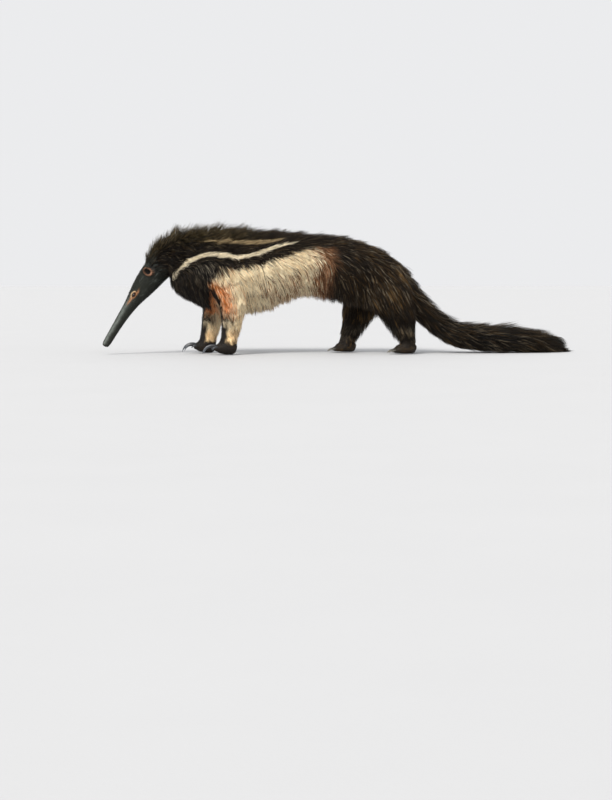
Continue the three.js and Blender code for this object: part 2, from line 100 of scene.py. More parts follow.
class Form:
    """A rounded body along a curved axis. A station is [x, y, z, reach to its back, front and each side].

    The back of a part that runs along +X is its top, and the back of a leg is its rear. drop is how far
    the skin lies inside the form, at even steps along it."""

    def __init__(self, name, stations, drop=(0.0,)):
        self.name = name
        self.rows = np.array(stations, float)
        self.drop = drop

    def at(self, u):
        """The station at each u, on a smooth curve through them."""
        first, last = 2 * self.rows[0] - self.rows[1], 2 * self.rows[-1] - self.rows[-2]
        rows = np.vstack([first, self.rows, last])
        spans = len(self.rows) - 1
        place = np.clip(u, 0, 1) * spans
        k = np.minimum(place.astype(int), spans - 1)
        w = (place - k)[..., None]
        before, start, end, after = (rows[k + i] for i in range(4))
        leave, arrive = (end - before) / 2, (after - start) / 2
        ease = w * w * (3 - 2 * w)
        return start + ease * (end - start) + w * (1 - w) * ((1 - w) * leave - w * arrive)

    def surface(self, u, angle, rise=0.0):
        """Points at u along the form and at angle from its back towards +Y, raised by rise."""
        u, angle = np.broadcast_arrays(np.asarray(u, float), np.asarray(angle, float))
        step = 1e-4
        along = unit(self.at(np.minimum(u + step, 1))[..., :3] - self.at(np.maximum(u - step, 0))[..., :3])
        back = unit(np.cross(along, SIDEWAYS))
        side = unit(np.cross(back, along))
        row = self.at(u)
        depth = np.where(np.cos(angle) > 0, row[..., 3], row[..., 4]) + rise
        width = row[..., 5] + rise
        out = back * (np.cos(angle) * depth)[..., None] + side * (np.sin(angle) * width)[..., None]
        return row[..., :3] + out

    def skin(self, u, angle):
        return self.surface(u, angle, -np.interp(u, np.linspace(0, 1, len(self.drop)), self.drop))

    def ends(self):
        return self.at(np.array([0.0, 1.0]))[:, :3]

    def tube(self, sides, steps):
        """The form's closed surface as vertices and faces."""
        points = self.skin(*round_grid(np.linspace(0, 1, steps + 1), sides)).reshape(-1, 3)
        this = np.arange(sides)
        after = (this + 1) % sides
        tip, last = np.full(sides, len(points)), steps * sides
        start = np.stack([tip, after, this], -1)
        end = np.stack([tip + 1, last + this, last + after], -1)
        faces = [face for part in (tube_quads(steps, sides), start, end) for face in part.tolist()]
        return np.vstack([points, self.ends()]), faces


# The body, from the back of the skull to the end of the tail
neck_form = Form("neck", [
    [NAPE[0] - 12, 0, NAPE[2] - 16, 50, 49, 48],
    [-534, 0, 350, 54, 58, 54],
    [-508, 0, 364, 70, 84, 64],
    [-470, 0, 364, 96, 114, 82],
    [-425, 0, 352, 118, 130, 104],
    [-375, 0, 336, 134, 134, 118],
], drop=(3, 8, 14, 16))
torso_form = Form("torso", [
    [-455, 0, 345, 106, 112, 84],
    [-390, 0, 335, 134, 134, 114],
    [-312, 0, 327, 146, 142, 132],
    [-195, 0, 328, 142, 134, 140],
    [-78, 0, 345, 121, 102, 134],
    [39, 0, 352, 106, 86, 126],
    [156, 0, 337, 108, 100, 130],
    [268, 0, 302, 104, 100, 126],
    [350, 0, 262, 88, 80, 104],
    [410, 0, 222, 58, 54, 72],
], drop=(16,))
tail_form = Form("tail", [
    [330, 0, 288, 72, 70, 84],
    [384, 0, 248, 62, 60, 74],
    [434, 0, 206, 53, 50, 62],
    [488, 1, 158, 48, 46, 58],
    [540, 2, 114, 48, 48, 62],
    [600, 4, 78, 50, 54, 70],
    [680, 7, 62, 50, 58, 78],
    [780, 12, 56, 48, 56, 84],
    [870, 18, 50, 43, 52, 82],
    [955, 28, 40, 33, 42, 64],
    [1015, 37, 28, 21, 30, 40],
    [1040, 41, 18, 9, 14, 16],
], drop=(16, 18, 24, 26, 26, 20, 6))


def foreleg_forms(name, side, step):
    limb = [
        [-318, side * 62, 352, 74, 74, 50],
        [-300 + step * 0.2, side * 88, 290, 76, 74, 56],
        [-272 + step * 0.6, side * 98, 215, 58, 54, 46],
        [-270 + step * 0.9, side * 94, 145, 42, 40, 38],
        [-274 + step, side * STANCE, 82, 33, 33, 33],
        [-280 + step, side * STANCE, 28, 34, 36, 36],
    ]
    paw = [
        [-246 + step, side * STANCE, 20, 14, 18, 20],
        [-262 + step, side * STANCE, 24, 24, 28, 34],
        [-292 + step, side * STANCE, 24, 24, 28, 38],
        [-312 + step, side * STANCE, 22, 18, 26, 34],
    ]
    return Form(name, limb, drop=(16, 14, 9, 6, 4, 3)), Form(name + "_paw", paw, drop=(2,))


def hindleg_forms(name, side, knee, ankle):
    limb = [
        [296, side * 60, 300, 96, 96, 52],
        [(296 + knee) / 2, side * 84, 240, 88, 88, 60],
        [knee, side * 94, 172, 62, 60, 50],
        [(knee + ankle) / 2, side * 92, 108, 39, 38, 37],
        [ankle, side * STANCE, 52, 30, 31, 31],
        [ankle - 4, side * STANCE, 24, 30, 32, 32],
    ]
    paw = [
        [ankle + 32, side * STANCE, 16, 12, 16, 16],
        [ankle + 18, side * STANCE, 20, 19, 24, 28],
        [ankle - 16, side * STANCE, 19, 18, 22, 34],
        [ankle - 42, side * STANCE, 16, 13, 18, 36],
    ]
    return Form(name, limb, drop=(16, 14, 10, 6, 3, 3)), Form(name + "_paw", paw, drop=(1.5,))


# How far a foreleg is set forward or back, and the places of a hind leg's knee and ankle
LEGS = [
    {"name": "foreleg_left", "side": -1, "fore": True, "places": [-8]},
    {"name": "foreleg_right", "side": 1, "fore": True, "places": [-78]},
    {"name": "hindleg_left", "side": -1, "fore": False, "places": [372, 408]},
    {"name": "hindleg_right", "side": 1, "fore": False, "places": [238, 196]},
]
for leg in LEGS:
    leg_forms = foreleg_forms if leg["fore"] else hindleg_forms
    leg["limb"], leg["paw"] = leg_forms(leg["name"], leg["side"], *leg["places"])


# The head, from the tip of the snout to the back of the skull
def head_place(distance, dip):
    return NAPE + NOSEWARD * distance - CROWNWARD * dip


HEAD_STATIONS = [
    (1, 10, 9, 8, 9),
    (0.985, 9, 15, 13, 14.5),
    (0.94, 8, 17.5, 15.5, 17),
    (0.83, 4, 18.5, 17.5, 18),
    (0.66, -1, 21, 20.5, 20.5),
    (0.5, -4, 25, 26, 25),
    (0.36, -5, 35, 34, 32),
    (0.22, -3, 46, 43, 43),
    (0.08, 0, 50, 46, 48),
    (-0.04, 0, 49, 47, 47),
]
HEAD_ROWS = [[*head_place(share * HEAD_LENGTH, dip), *reaches] for share, dip, *reaches in HEAD_STATIONS]
head_form = Form("head", HEAD_ROWS, drop=(0.6, 1.2, 1.5, 2.5))
EYE_U, EYE_ANGLE, EYE_SINK = 0.65, 1.22, 0.42  # EYE_SINK is a share of the eye's radius
EAR_U, EAR_ANGLE, EAR_RIM = 0.86, 1.2, 0.62
MOUTH_LENGTH, MOUTH_DIP = 40, 16
FINE_SNOUT, FINE_ROUND_EYE = 48, 30  # how far the finest skin reaches from the tip and from each eye


def form_normal(form, u, angle):
    step = 0.01
    here = form.surface(u, angle)
    onward = form.surface(min(u + step, 1), angle) - form.surface(max(u - step, 0), angle)
    around = form.surface(u, angle + step) - form.surface(u, angle - step)
    out = unit(np.cross(around, onward))
    return out if np.dot(out, here - form.at(np.array(u))[:3]) > 0 else -out


def eye_place(side):
    out = form_normal(head_form, EYE_U, side * EYE_ANGLE)
    return head_form.surface(EYE_U, side * EYE_ANGLE) - out * EYE_RADIUS * EYE_SINK, out


def from_eye(points, side):
    """How far points are from an eye's middle: in all, along the head and across it."""
    centre, out = eye_place(side)
    offset = points - centre
    across = offset @ unit(np.cross(out, NOSEWARD)) * side
    return np.linalg.norm(offset, axis=1), offset @ NOSEWARD, across


class EarCup(Form):
    """An ear: u runs from the back of the cup over its rim to the bottom of its hollow."""

    def __init__(self, name, side):
        super().__init__(name, [[0] * 6, [1] * 6])
        out = form_normal(head_form, EAR_U, side * EAR_ANGLE)
        self.opening = unit(SIDEWAYS * side + NOSEWARD * 0.45 + CROWNWARD * 0.2)
        self.centre = head_form.surface(EAR_U, side * EAR_ANGLE) + out * 5 - NOSEWARD * 6 + CROWNWARD * 6
        self.across = unit(np.cross(CROWNWARD, self.opening))
        self.upward = np.cross(self.opening, self.across)

    def skin(self, u, angle):
        u, angle = np.broadcast_arrays(np.asarray(u, float), np.asarray(angle, float))
        outside = u < EAR_RIM
        outer = math.pi - (math.pi - 1.2) * u / EAR_RIM
        inner = 1.45 + (math.pi - 1.45) * (u - EAR_RIM) / (1 - EAR_RIM)
        fold = 1 + 0.07 * np.sin(3 * angle + 1) * np.sin((u - EAR_RIM) * 9)
        wide = np.where(outside, np.sin(outer) * 0.86, np.sin(inner) * 0.74 * fold) * EAR_RADIUS
        high = np.where(outside, np.sin(outer), np.sin(inner) * 0.88 * fold) * EAR_RADIUS
        deep = np.where(outside, 10 * np.cos(outer), 5 + 10 * np.cos(inner))
        deep = deep + (0.5 + 3.5 * np.cos(angle - 0.4)) * hill((u - EAR_RIM) / 0.22)
        wide, high = wide * np.sin(angle), high * np.cos(angle)
        around = self.across * wide[..., None] + self.upward * high[..., None]
        return self.centre + around + self.opening * deep[..., None]

    def ends(self):
        return self.skin(np.array([0.0, 1.0]), np.zeros(2))


EARS = [EarCup("ear_left", -1), EarCup("ear_right", 1)]


# Where the animal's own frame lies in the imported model, from the middle between its eyes
eye_boxes = [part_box("eye_left"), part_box("eye_right")]
eyes_found = np.array([(low + high) / 2 for low, high in eye_boxes]).mean(0)
SHIFT = eyes_found - (eye_place(-1)[0] + eye_place(1)[0]) / 2 * MM


def to_scene(points):
    return points * MM + SHIFT


# Meshes
def link(name, data):
    obj = bpy.data.objects.new(name, data)
    bpy.context.scene.collection.objects.link(obj)
    return obj


def mesh_object(name, points, faces):
    mesh = bpy.data.meshes.new(name)
    mesh.from_pydata(points.tolist(), [], faces)
    mesh.update()
    return link(name, mesh)


def joined(parts):
    """Several (vertices, faces) as one."""
    faces, count = [], 0
    for points, part_faces in parts:
        faces += [[i + count for i in face] for face in part_faces]
        count += len(points)
    return np.vstack([points for points, _ in parts]), faces


def read(values, name, width, dtype=np.float32):
    flat = np.empty(len(values) * width, dtype)
    values.foreach_get(name, flat)
    return flat.reshape(-1, width) if width > 1 else flat


def write(values, name, array, dtype=np.float32):
    values.foreach_set(name, np.ascontiguousarray(array, dtype).ravel())


def coordinates(mesh):
    return read(mesh.vertices, "co", 3).astype(float)


def edges_of(mesh):
    return read(mesh.edges, "vertices", 2, np.int32)


def shade_smooth(mesh):
    write(mesh.polygons, "use_smooth", np.ones(len(mesh.polygons)), bool)


def evaluated(obj):
    """The mesh that an object's modifiers leave, without the object."""
    mesh = bpy.data.meshes.new_from_object(obj.evaluated_get(bpy.context.evaluated_depsgraph_get()))
    bpy.data.objects.remove(obj)
    return mesh


def edited(mesh, change):
    """Changes a mesh by a function of its bmesh."""
    bm = bmesh.new()
    bm.from_mesh(mesh)
    change(bm)
    bm.to_mesh(mesh)
    bm.free()
    mesh.update()


def triangulate(bm):
    bmesh.ops.triangulate(bm, faces=bm.faces)


def averaged(values, edges, rounds, keep=None):
    """Values at vertices, evened out along the edges. keep is the share of each that never changes."""
    count = len(values)
    ends, others = edges.T.ravel(), edges[:, ::-1].T.ravel()
    near = np.maximum(np.bincount(ends, minlength=count), 1)[:, None]
    flat = values.reshape(count, -1).astype(float)
    for _ in range(rounds):
        sums = [np.bincount(ends, flat[others, c], minlength=count) for c in range(flat.shape[1])]
        change = (np.stack(sums, -1) / near - flat) / 2
        flat = flat + (change if keep is None else change * (1 - keep)[:, None])
    return flat.reshape(values.shape)


def set_attribute(mesh, name, kind, values):
    field = {"FLOAT_COLOR": "color", "FLOAT": "value", "FLOAT_VECTOR": "vector"}[kind]
    if kind == "FLOAT_COLOR":
        values = np.hstack([values, np.ones((len(values), 1))])
    write(mesh.attributes.new(name, kind, "POINT").data, field, values)


# The digits of each paw: place across it, the claw's length and root radius, and how far it is set back
FORE_CLAWS = [(-27, 24, 4.5, 4), (-11, 56, 8.5, 0), (9, 66, 9.5, 0), (27, 26, 5, 6)]
HIND_CLAWS = [(-29, 20, 3.8, 8), (-15, 25, 4.3, 2), (0, 26, 4.5, 0), (15, 24, 4.3, 3), (28, 19, 3.8, 9)]


def digits(leg):
    fore, side = leg["fore"], leg["side"]
    front = leg["places"][-1] - (326 if fore else 58)
    height, sole, slope, turn = (27, 24, 0.45, 1.9) if fore else (15, 15, 0.1, 1.1)
    found = []
    for number, (across, length, radius, back) in enumerate(FORE_CLAWS if fore else HIND_CLAWS, 1):
        y = side * (STANCE + across)
        heading = math.pi - side * across * 0.006
        found.append({
            "name": f"claw_{leg['name']}_{number}",
            "knuckle": [front + 34 + back, y, height - 2],
            "sole": sole,
            "end": np.array([front + back, y, height + (radius * 0.4 if fore else 0)]),
            "outward": unit(np.array([math.cos(heading), math.sin(heading), math.tan(slope)])),
            "heading": heading,
            "slope": slope,
            "turn": turn,
            "length": length,
            "radius": radius,
        })
    return found


def toe_form(name, digit):
    """A toe swells at its knuckle and ends in a soft cuff round the root of its claw."""
    radius, size, end, outward = digit["radius"], digit["radius"] * 1.5, digit["end"], digit["outward"]
    stations = [
        [*digit["knuckle"], size, digit["sole"], size],
        [*(end - outward * 8), radius + 4.5, radius + 5, radius + 3.5],
        [*end, radius + 2.6, radius + 2.4, radius + 1.6],
        [*(end + outward * 2), radius + 0.6, radius + 0.6, radius * 0.7],
    ]
    return Form(name, stations, drop=(1.0,))


for leg in LEGS:
    leg["digits"] = digits(leg)
    leg["toes"] = [toe_form(f"{leg['name']}_toe_{i}", d) for i, d in enumerate(leg["digits"], 1)]

LEG_FORMS = [form for leg in LEGS for form in (leg["limb"], leg["paw"], *leg["toes"])]
SHELL_FORMS = [head_form, neck_form, torso_form, tail_form, *LEG_FORMS]
FORMS = [*SHELL_FORMS, *EARS]


# Skin
def skin_shell():
    """One closed skin over all the forms."""
    tubes = [form.tube(24, 16) if form.name.count("_") > 1 else form.tube(64, 96) for form in SHELL_FORMS]
    shell = mesh_object("shell", *joined(tubes))
    remesh = shell.modifiers.new("remesh", "REMESH")
    remesh.mode = "VOXEL"
    remesh.voxel_size = SKIN_VOXEL
    return evaluated(shell)


def head_share(points):
    """1 on the head and 0 behind it."""
    return np.clip(((points - NAPE) @ NOSEWARD + 4) / 16, 0, 1)


def refine(mesh, chosen):
    """Splits the faces whose middle is chosen into four."""
    def split(bm):
        middles = np.array([f.calc_center_median() for f in bm.faces])
        bm.faces.ensure_lookup_table()
        edges = {e for i in np.flatnonzero(chosen(middles)) for e in bm.faces[i].edges}
        bmesh.ops.subdivide_edges(bm, edges=list(edges), cuts=1, use_grid_fill=True)

    edited(mesh, split)


def near_feature(points):
    """True round the eyes and at the end of the snout, where the skin is finest."""
    near = (points - NAPE) @ NOSEWARD > HEAD_LENGTH - FINE_SNOUT
    for side in (-1, 1):
        near |= from_eye(points, side)[0] < FINE_ROUND_EYE
    return near


def head_details(points):
    """How far each point of the head moves out for lids, brow, folds, lips and mouth line."""
    move = np.zeros(len(points))
    distance = (points - NAPE) @ NOSEWARD
    dip = -(points - NAPE) @ CROWNWARD
    for side in (-1, 1):
        same_side = np.sign(points[:, 1]) == side
        _, along, across = from_eye(points, side)
        radial = np.hypot(along / 9.2, across / 6.0)
        opening = np.exp(-((radial / 0.82) ** 6))
        rim = hill((radial - 1.22) / 0.22)
        crease = hill((radial - 1.75) / 0.16)
        outer = hill((radial - 2.3) / 0.3)
        corner = hill((along - 12) / 5, across / 1.4)
        local = -6.5 * opening + 2.4 * rim - 0.9 * crease + 0.7 * outer - 0.9 * corner
        move += np.where(same_side & (radial < 4), local, 0)
        brow = hill((along - 2) / 16, (across + 13) / 5)
        cheek = hill((along + 30) / 26, (dip - 20) / 12)
        move += np.where(same_side, 1.8 * brow + 2.2 * cheek, 0)
    from_tip = HEAD_LENGTH - distance
    in_mouth = np.clip((MOUTH_LENGTH - from_tip) / 6, 0, 1) * head_share(points)
    from_mouth = dip - MOUTH_DIP
    lip = hill((from_mouth + 2.6) / 1.6) + hill((from_mouth - 2.6) / 1.6)
    move += in_mouth * (0.9 * lip - 2.2 * hill(from_mouth / 0.8))
    for side in (-1, 1):
        offset = points - (head_place(HEAD_LENGTH - 1, 5) + SIDEWAYS * side * 7)
        wide, high = offset[:, 1], offset @ CROWNWARD
        front = np.clip((8 - from_tip) / 3, 0, 1)
        pit = hill((wide / 2.0) ** 2 + ((high + 0.15 * wide * side) / 3.4) ** 2)
        wing = hill((np.hypot(wide / 2.0, high / 3.4) - 1.6) / 0.35)
        move += front * (-4.2 * pit + 0.7 * wing)
    folds = np.sin(distance * 0.62 + 1.3 * np.sin(points[:, 1] * 0.16)) * np.clip((dip - 4) / 14, 0, 1)
    return move + 0.12 * folds * head_share(points) * np.clip((distance - 40) / 60, 0, 1)


def toe_grooves(points):
    """How far each point of the paws moves out or in, for toes that swell with grooves between them."""
    move = np.zeros(len(points))
    for leg in LEGS:
        places = np.array([digit["end"][1] for digit in leg["digits"]])
        between = (places[1:] + places[:-1]) / 2
        front = leg["digits"][1]["end"][0]
        here = (np.abs(points[:, 0] - front - 20) < 50) & (points[:, 2] < 62)
        here &= np.abs(points[:, 1] - leg["side"] * STANCE) < 60
        near = points[here]
        swell = hill(np.abs(near[:, 1, None] - places).min(1) / 4.5)
        groove = hill(np.abs(near[:, 1, None] - between).min(1) / 2.4)
        forward, upper = soft(front + 42 - near[:, 0], 0, 26), soft(near[:, 2], 6, 14)
        move[here] = forward * upper * (1.6 * swell - 4.2 * groove)
    return move


def thinned(mesh, kept):
    """The mesh with fewer triangles, except at vertices that are kept."""
    obj = link("thinned", mesh)
    group = obj.vertex_groups.new(name="thin")
    group.add(np.flatnonzero(~kept).tolist(), 1.0, "REPLACE")
    decimate = obj.modifiers.new("thin", "DECIMATE")
    decimate.ratio = SKIN_TRIANGLES / len(mesh.polygons)
    decimate.vertex_group = "thin"
    return evaluated(obj)


def build_skin():
    mesh = skin_shell()
    points = coordinates(mesh)
    paw = np.clip((PAW_TOP - points[:, 2]) / 30, 0, 1) * (points[:, 0] < PAWS_END)
    keep = np.maximum(head_share(points) * 0.5, paw * 0.6)
    write(mesh.vertices, "co", averaged(points, edges_of(mesh), 10, keep=keep))
    refine(mesh, lambda middles: head_share(middles) > 0.5)
    refine(mesh, near_feature)
    points = averaged(coordinates(mesh), edges_of(mesh), 6, keep=1 - head_share(coordinates(mesh)))
    write(mesh.vertices, "co", points)
    mesh.update()
    normals = read(mesh.vertex_normals, "vector", 3)
    points += normals * (head_details(points) * head_share(points) + toe_grooves(points))[:, None]
    points[:, 2] = np.maximum(points[:, 2], SOLE * 0.5)
    write(mesh.vertices, "co", points)
    edited(mesh, triangulate)
    in_paw = (points[:, 2] < PAW_TOP) & (points[:, 0] < PAWS_END)
    mesh = thinned(mesh, (head_share(points) > 0.3) | in_paw)
    ears = mesh_object("ears", *joined([ear.tube(44, 34) for ear in EARS]))
    edited(mesh, lambda bm: bm.from_mesh(ears.data))
    bpy.data.objects.remove(ears)
    edited(mesh, triangulate)
    return link("skin", mesh)


skin = build_skin()


# Where each point of the skin lies on its form
def form_samples():
    """Points over every form's skin: form number, u, angle, place, and how it moves with u and angle."""
    rows = []
    step = 0.005
    for number, form in enumerate(FORMS):
        steps, sides = (10, 14) if "toe" in form.name else (100, 64)
        ring = np.linspace(-math.pi, math.pi, sides, endpoint=False)
        u, angle = np.meshgrid(np.linspace(0.01, 0.99, steps), ring, indexing="ij")
        along = (form.skin(u + step, angle) - form.skin(u - step, angle)) / (2 * step)
        around = (form.skin(u, angle + step) - form.skin(u, angle - step)) / (2 * step)
        flat = [np.full(u.shape, number, float), u, angle, form.skin(u, angle), along, around]
        rows.append(np.dstack(flat).reshape(-1, 12))
    return np.vstack(rows)


def nearest_of(places, points):
    """For each point, the number of the nearest place."""
    tree = KDTree(len(places))
    for number, place in enumerate(places):
        tree.insert(place, number)
    tree.balance()
    return np.array([tree.find(p)[1] for p in points])


def located(points):
    """Each point's form by number, with u, angle and the directions along and around it there."""
    samples = form_samples()
    rows = samples[nearest_of(samples[:, 3:6], points)]
    offset = points - rows[:, 3:6]
    along, around = rows[:, 6:9], rows[:, 9:12]
    u = rows[:, 1] + (offset * along).sum(1) / np.maximum((along**2).sum(1), 1e-6)
    angle = rows[:, 2] + (offset * around).sum(1) / np.maximum((around**2).sum(1), 1e-6)
    return rows[:, 0].astype(int), np.clip(u, 0, 1), angle, unit(along), unit(around)


# The coat by where it grows. Each row is a share of the form's length, then values from its back round to
# its front, or one value all round. density is tufts to a square millimetre, and clump is how far they
# draw together.
ROUND = (0.0, 0.7, 1.4, 2.1, 2.7, math.pi)
COAT = {
    "head": {
        "density": 0.17, "clump": 0.08,
        "length": [
            (0, 3), (0.35, 6), (0.62, 9, 8, 8, 9, 10, 10), (0.78, 15, 13, 11, 13, 15, 15),
            (0.9, 27, 22, 17, 20, 24, 24), (1, 44, 36, 28, 32, 36, 36),
        ],
        "rise": [
            (0, 0.6), (0.5, 1.2), (0.78, 3, 2.2, 1.8, 2.4, 3, 3), (0.9, 9, 6, 3.5, 5, 8, 8),
            (1, 22, 14, 9, 10, 12, 12),
        ],
        "lie": [(0, 0, 8, 12, 8, 0, 0)],
        "droop": [(0, 0)],
    },
    "neck": {
        "density": 0.085, "clump": 0.42,
        "length": [
            (0, 58, 46, 36, 34, 38, 38), (0.4, 74, 58, 48, 46, 50, 50), (1, 82, 70, 60, 58, 58, 56),
        ],
        "rise": [(0, 43, 24, 13, 12, 15, 15), (0.4, 61, 36, 24, 25, 28, 28), (1, 60, 35, 26, 26, 28, 28)],
        "lie": [(0, 0, 22, 40, 44, 30, 0), (1, 0, 20, 46, 60, 46, 0)],
        "droop": [(0, 0, 0.02, 0.08, 0.2, 0.45, 0.5)],
    },
    "torso": {
        "density": 0.066, "clump": 0.45,
        "length": [
            (0, 80, 70, 62, 60, 54, 50), (0.33, 80, 72, 66, 94, 92, 66), (0.6, 76, 72, 74, 106, 100, 64),
            (0.8, 84, 82, 86, 96, 80, 60), (1, 98, 94, 90, 88, 76, 64),
        ],
        "rise": [
            (0, 60, 35, 25, 26, 26, 24), (0.25, 56, 33, 24, 27, 28, 24), (0.5, 38, 29, 24, 30, 32, 24),
            (1, 40, 32, 30, 32, 28, 22),
        ],
        "lie": [
            (0, 2, 16, 46, 72, 50, 10), (0.35, 2, 14, 44, 76, 60, 10), (0.6, 2, 14, 40, 72, 60, 10),
            (0.78, 2, 16, 36, 58, 50, 10), (1, 2, 12, 28, 40, 34, 8),
        ],
        "droop": [
            (0, 0, 0.02, 0.1, 0.35, 0.7, 0.7), (0.35, 0, 0.02, 0.15, 0.62, 0.95, 0.85),
            (0.75, 0, 0.02, 0.15, 0.62, 0.95, 0.85), (1, 0, 0.04, 0.15, 0.45, 0.7, 0.7),
        ],
    },
    "tail": {
        "density": 0.058, "clump": 0.42,
        "length": [
            (0, 100, 96, 90, 90, 80, 70), (0.4, 124, 124, 120, 110, 90, 80),
            (0.8, 150, 150, 150, 130, 100, 90), (0.93, 128, 128, 128, 120, 105, 90),
            (1, 74, 76, 78, 76, 72, 70),
        ],
        "rise": [
            (0, 38, 34, 32, 28, 24, 20), (0.4, 46, 44, 44, 38, 26, 24), (0.85, 44, 42, 46, 38, 24, 20),
            (1, 26, 26, 30, 20, 10, 8),
        ],
        "lie": [(0, 0, 10, 16, 16, 8, 0), (1, 0, 8, 12, 10, 4, 0)],
        "droop": [(0, 0, 0.1, 0.25, 0.35, 0.3, 0.2), (0.45, 0, 0.04, 0.1, 0.2, 0.2, 0.2), (1, 0.1)],
    },
    "foreleg": {
        "density": 0.08, "clump": 0.4,
        "length": [
            (0, 86, 80, 74, 64, 50, 44), (0.3, 90, 84, 70, 52, 38, 34), (0.6, 74, 58, 36, 24, 18, 16),
            (0.8, 40, 28, 18, 13, 11, 11), (1, 16, 13, 11, 10, 10, 10),
        ],
        "rise": [
            (0, 34, 30, 26, 22, 18, 18), (0.3, 34, 28, 22, 16, 12, 12), (0.6, 26, 16, 10, 7, 5, 5),
            (0.8, 12, 8, 4, 3, 2.5, 2.5), (1, 4, 3, 2.5, 2, 2, 2),
        ],
        "lie": [(0, 0, -8, -14, -12, 0, 0), (0.6, 0, -6, -10, -12, 0, 0)],
        "droop": [(0, 0.6, 0.55, 0.3, 0.15, 0.05, 0.05), (0.7, 0.5, 0.4, 0.2, 0.05, 0.05, 0.05)],
    },
    "hindleg": {
        "density": 0.07, "clump": 0.42,
        "length": [
            (0, 100, 96, 92, 96, 104, 104), (0.3, 104, 98, 92, 98, 112, 112),
            (0.5, 90, 78, 66, 74, 92, 92), (0.62, 62, 50, 40, 36, 38, 38), (0.78, 32, 26, 20, 16, 15, 14),
            (1, 12, 12, 10, 10, 10, 10),
        ],
        "rise": [
            (0, 32, 30, 28, 27, 26, 24), (0.3, 34, 30, 26, 26, 28, 28), (0.5, 28, 21, 16, 16, 22, 22),
            (0.66, 16, 12, 9, 8, 8, 8), (0.8, 9, 7, 5, 4, 4, 4), (1, 3, 2.5, 2, 2, 2, 2),
        ],
        "lie": [(0, 0, -6, -10, -8, 0, 0)],
        "droop": [
            (0, 0.6, 0.5, 0.4, 0.45, 0.55, 0.6), (0.45, 0.6, 0.45, 0.35, 0.45, 0.7, 0.75),
            (0.7, 0.5, 0.4, 0.2, 0.1, 0.1, 0.1),
        ],
    },
    "paw": {
        "density": 0.14, "clump": 0.15,
        "length": [(0, 17, 15, 13, 12, 11, 10), (1, 12, 12, 11, 10, 9, 9)],
        "rise": [(0, 4.2, 3.6, 2.8, 2.2, 1.6, 1.4)],
        "lie": [(0, 0, 10, 16, 10, 0, 0)],
        "droop": [(0, 0)],
    },
    "ear": {
        "density": 0.5, "clump": 0.05,
        "length": [(0, 15), (0.6, 10), (0.72, 6), (1, 3)],
        "rise": [(0, 3), (0.6, 4), (0.75, 2.5), (1, 1)],
        "lie": [(0, 0)],
        "droop": [(0, 0)],
    },
    "toe": {
        "density": 0.16, "clump": 0.1,
        "length": [(0, 10, 9, 8, 7, 6, 6)],
        "rise": [(0, 2.2, 2.0, 1.6, 1.2, 0.8, 0.8)],
        "lie": [(0, 0, 8, 12, 8, 0, 0)],
        "droop": [(0, 0)],
    },
}
SHARED_KINDS = ("toe", "paw", "foreleg", "hindleg", "ear")  # kinds of coat that several forms have
KINDS = np.array([next((kind for kind in SHARED_KINDS if kind in form.name), form.name) for form in FORMS])


def coat_value(kind, what, u, angle):
    """A value of the coat at u and angle on a form, smoothly between the rows of its table."""
    table = COAT[kind][what]
    full = [row[1:] * (len(ROUND) // (len(row) - 1)) for row in table]
    by_row = np.stack([np.interp(np.abs(angle), ROUND, row) for row in full])
    place = np.interp(u, [float(row[0]) for row in table], np.arange(len(table)))
    low = np.minimum(place.astype(int), len(table) - 1)
    high = np.minimum(low + 1, len(table) - 1)
    columns = np.arange(len(u))
    return by_row[low, columns] * (1 - (place - low)) + by_row[high, columns] * (place - low)


def skin_fields(points, normals, edges):
    """For every vertex of the skin: form number, u, angle, and the coat's length, rise, droop and lie."""
    number, u, angle, along, around = located(points)
    kinds = KINDS[number]
    angle = (angle + math.pi) % (2 * math.pi) - math.pi
    values = {}
    for what in ("length", "rise", "lie", "droop"):
        values[what] = np.zeros(len(points))
        for kind in COAT:
            here = kinds == kind
            values[what][here] = coat_value(kind, what, u[here], angle[here])
    slant = np.radians(values.pop("lie"))[:, None]
    lie = along * np.cos(slant) + around * np.sign(angle)[:, None] * np.sin(slant)
    lie = averaged(lie, edges, 14)
    away, _, course = by_line(points, STRIPE)
    near = 1 - soft(away, STRIPE_REACH * 0.35, STRIPE_REACH)
    near *= np.isin(kinds, ("neck", "torso")) * soft(points[:, 0], -502, -478)
    lie += (course - lie) * near[:, None]
    values["length"] *= 1 - 0.4 * near
    lie = averaged(lie, edges, 3)
    values["lie"] = unit(lie - normals * (lie * normals).sum(1)[:, None])
    for what in ("length", "rise", "droop"):
        values[what] = averaged(values[what], edges, 8)
    values["density"] = np.array([COAT[kind]["density"] for kind in kinds])
    return {"number": number, "u": u, "angle": angle, "kind": kinds, **values}


# Colours
def linear(text):
    """A colour written as six hexadecimal digits, as light values."""
    shares = np.array([int(text[i : i + 2], 16) / 255 for i in (0, 2, 4)])
    return np.where(shares <= 0.04045, shares / 12.92, ((shares + 0.055) / 1.055) ** 2.4)


# snout is the tint of the painted highlight along the snout and of a few paler hairs of the head; grey gives
# pale strands and the painted sheen on the hind shins.
TINT_TEXTS = dict(
    black="130e0a", neck="110c07", back="160f08", rump="170f06", tail="0c0804", gold="8a6a3c", grey="9c9482",
    cream="ffefcb", sand="efce9c", rust="cc7430", russet="8f5226", umber="4a2b13", stripe="fff0d0",
    dim_stripe="bda57c", olive="75653a", head="1c1e18", snout="6f7570", eye_tan="b9835a", eye_cream="e8cfa4",
    ear="c99678", paw="17110c", hind_paw="1f170d",
)
TINTS = {name: linear(text) for name, text in TINT_TEXTS.items()}

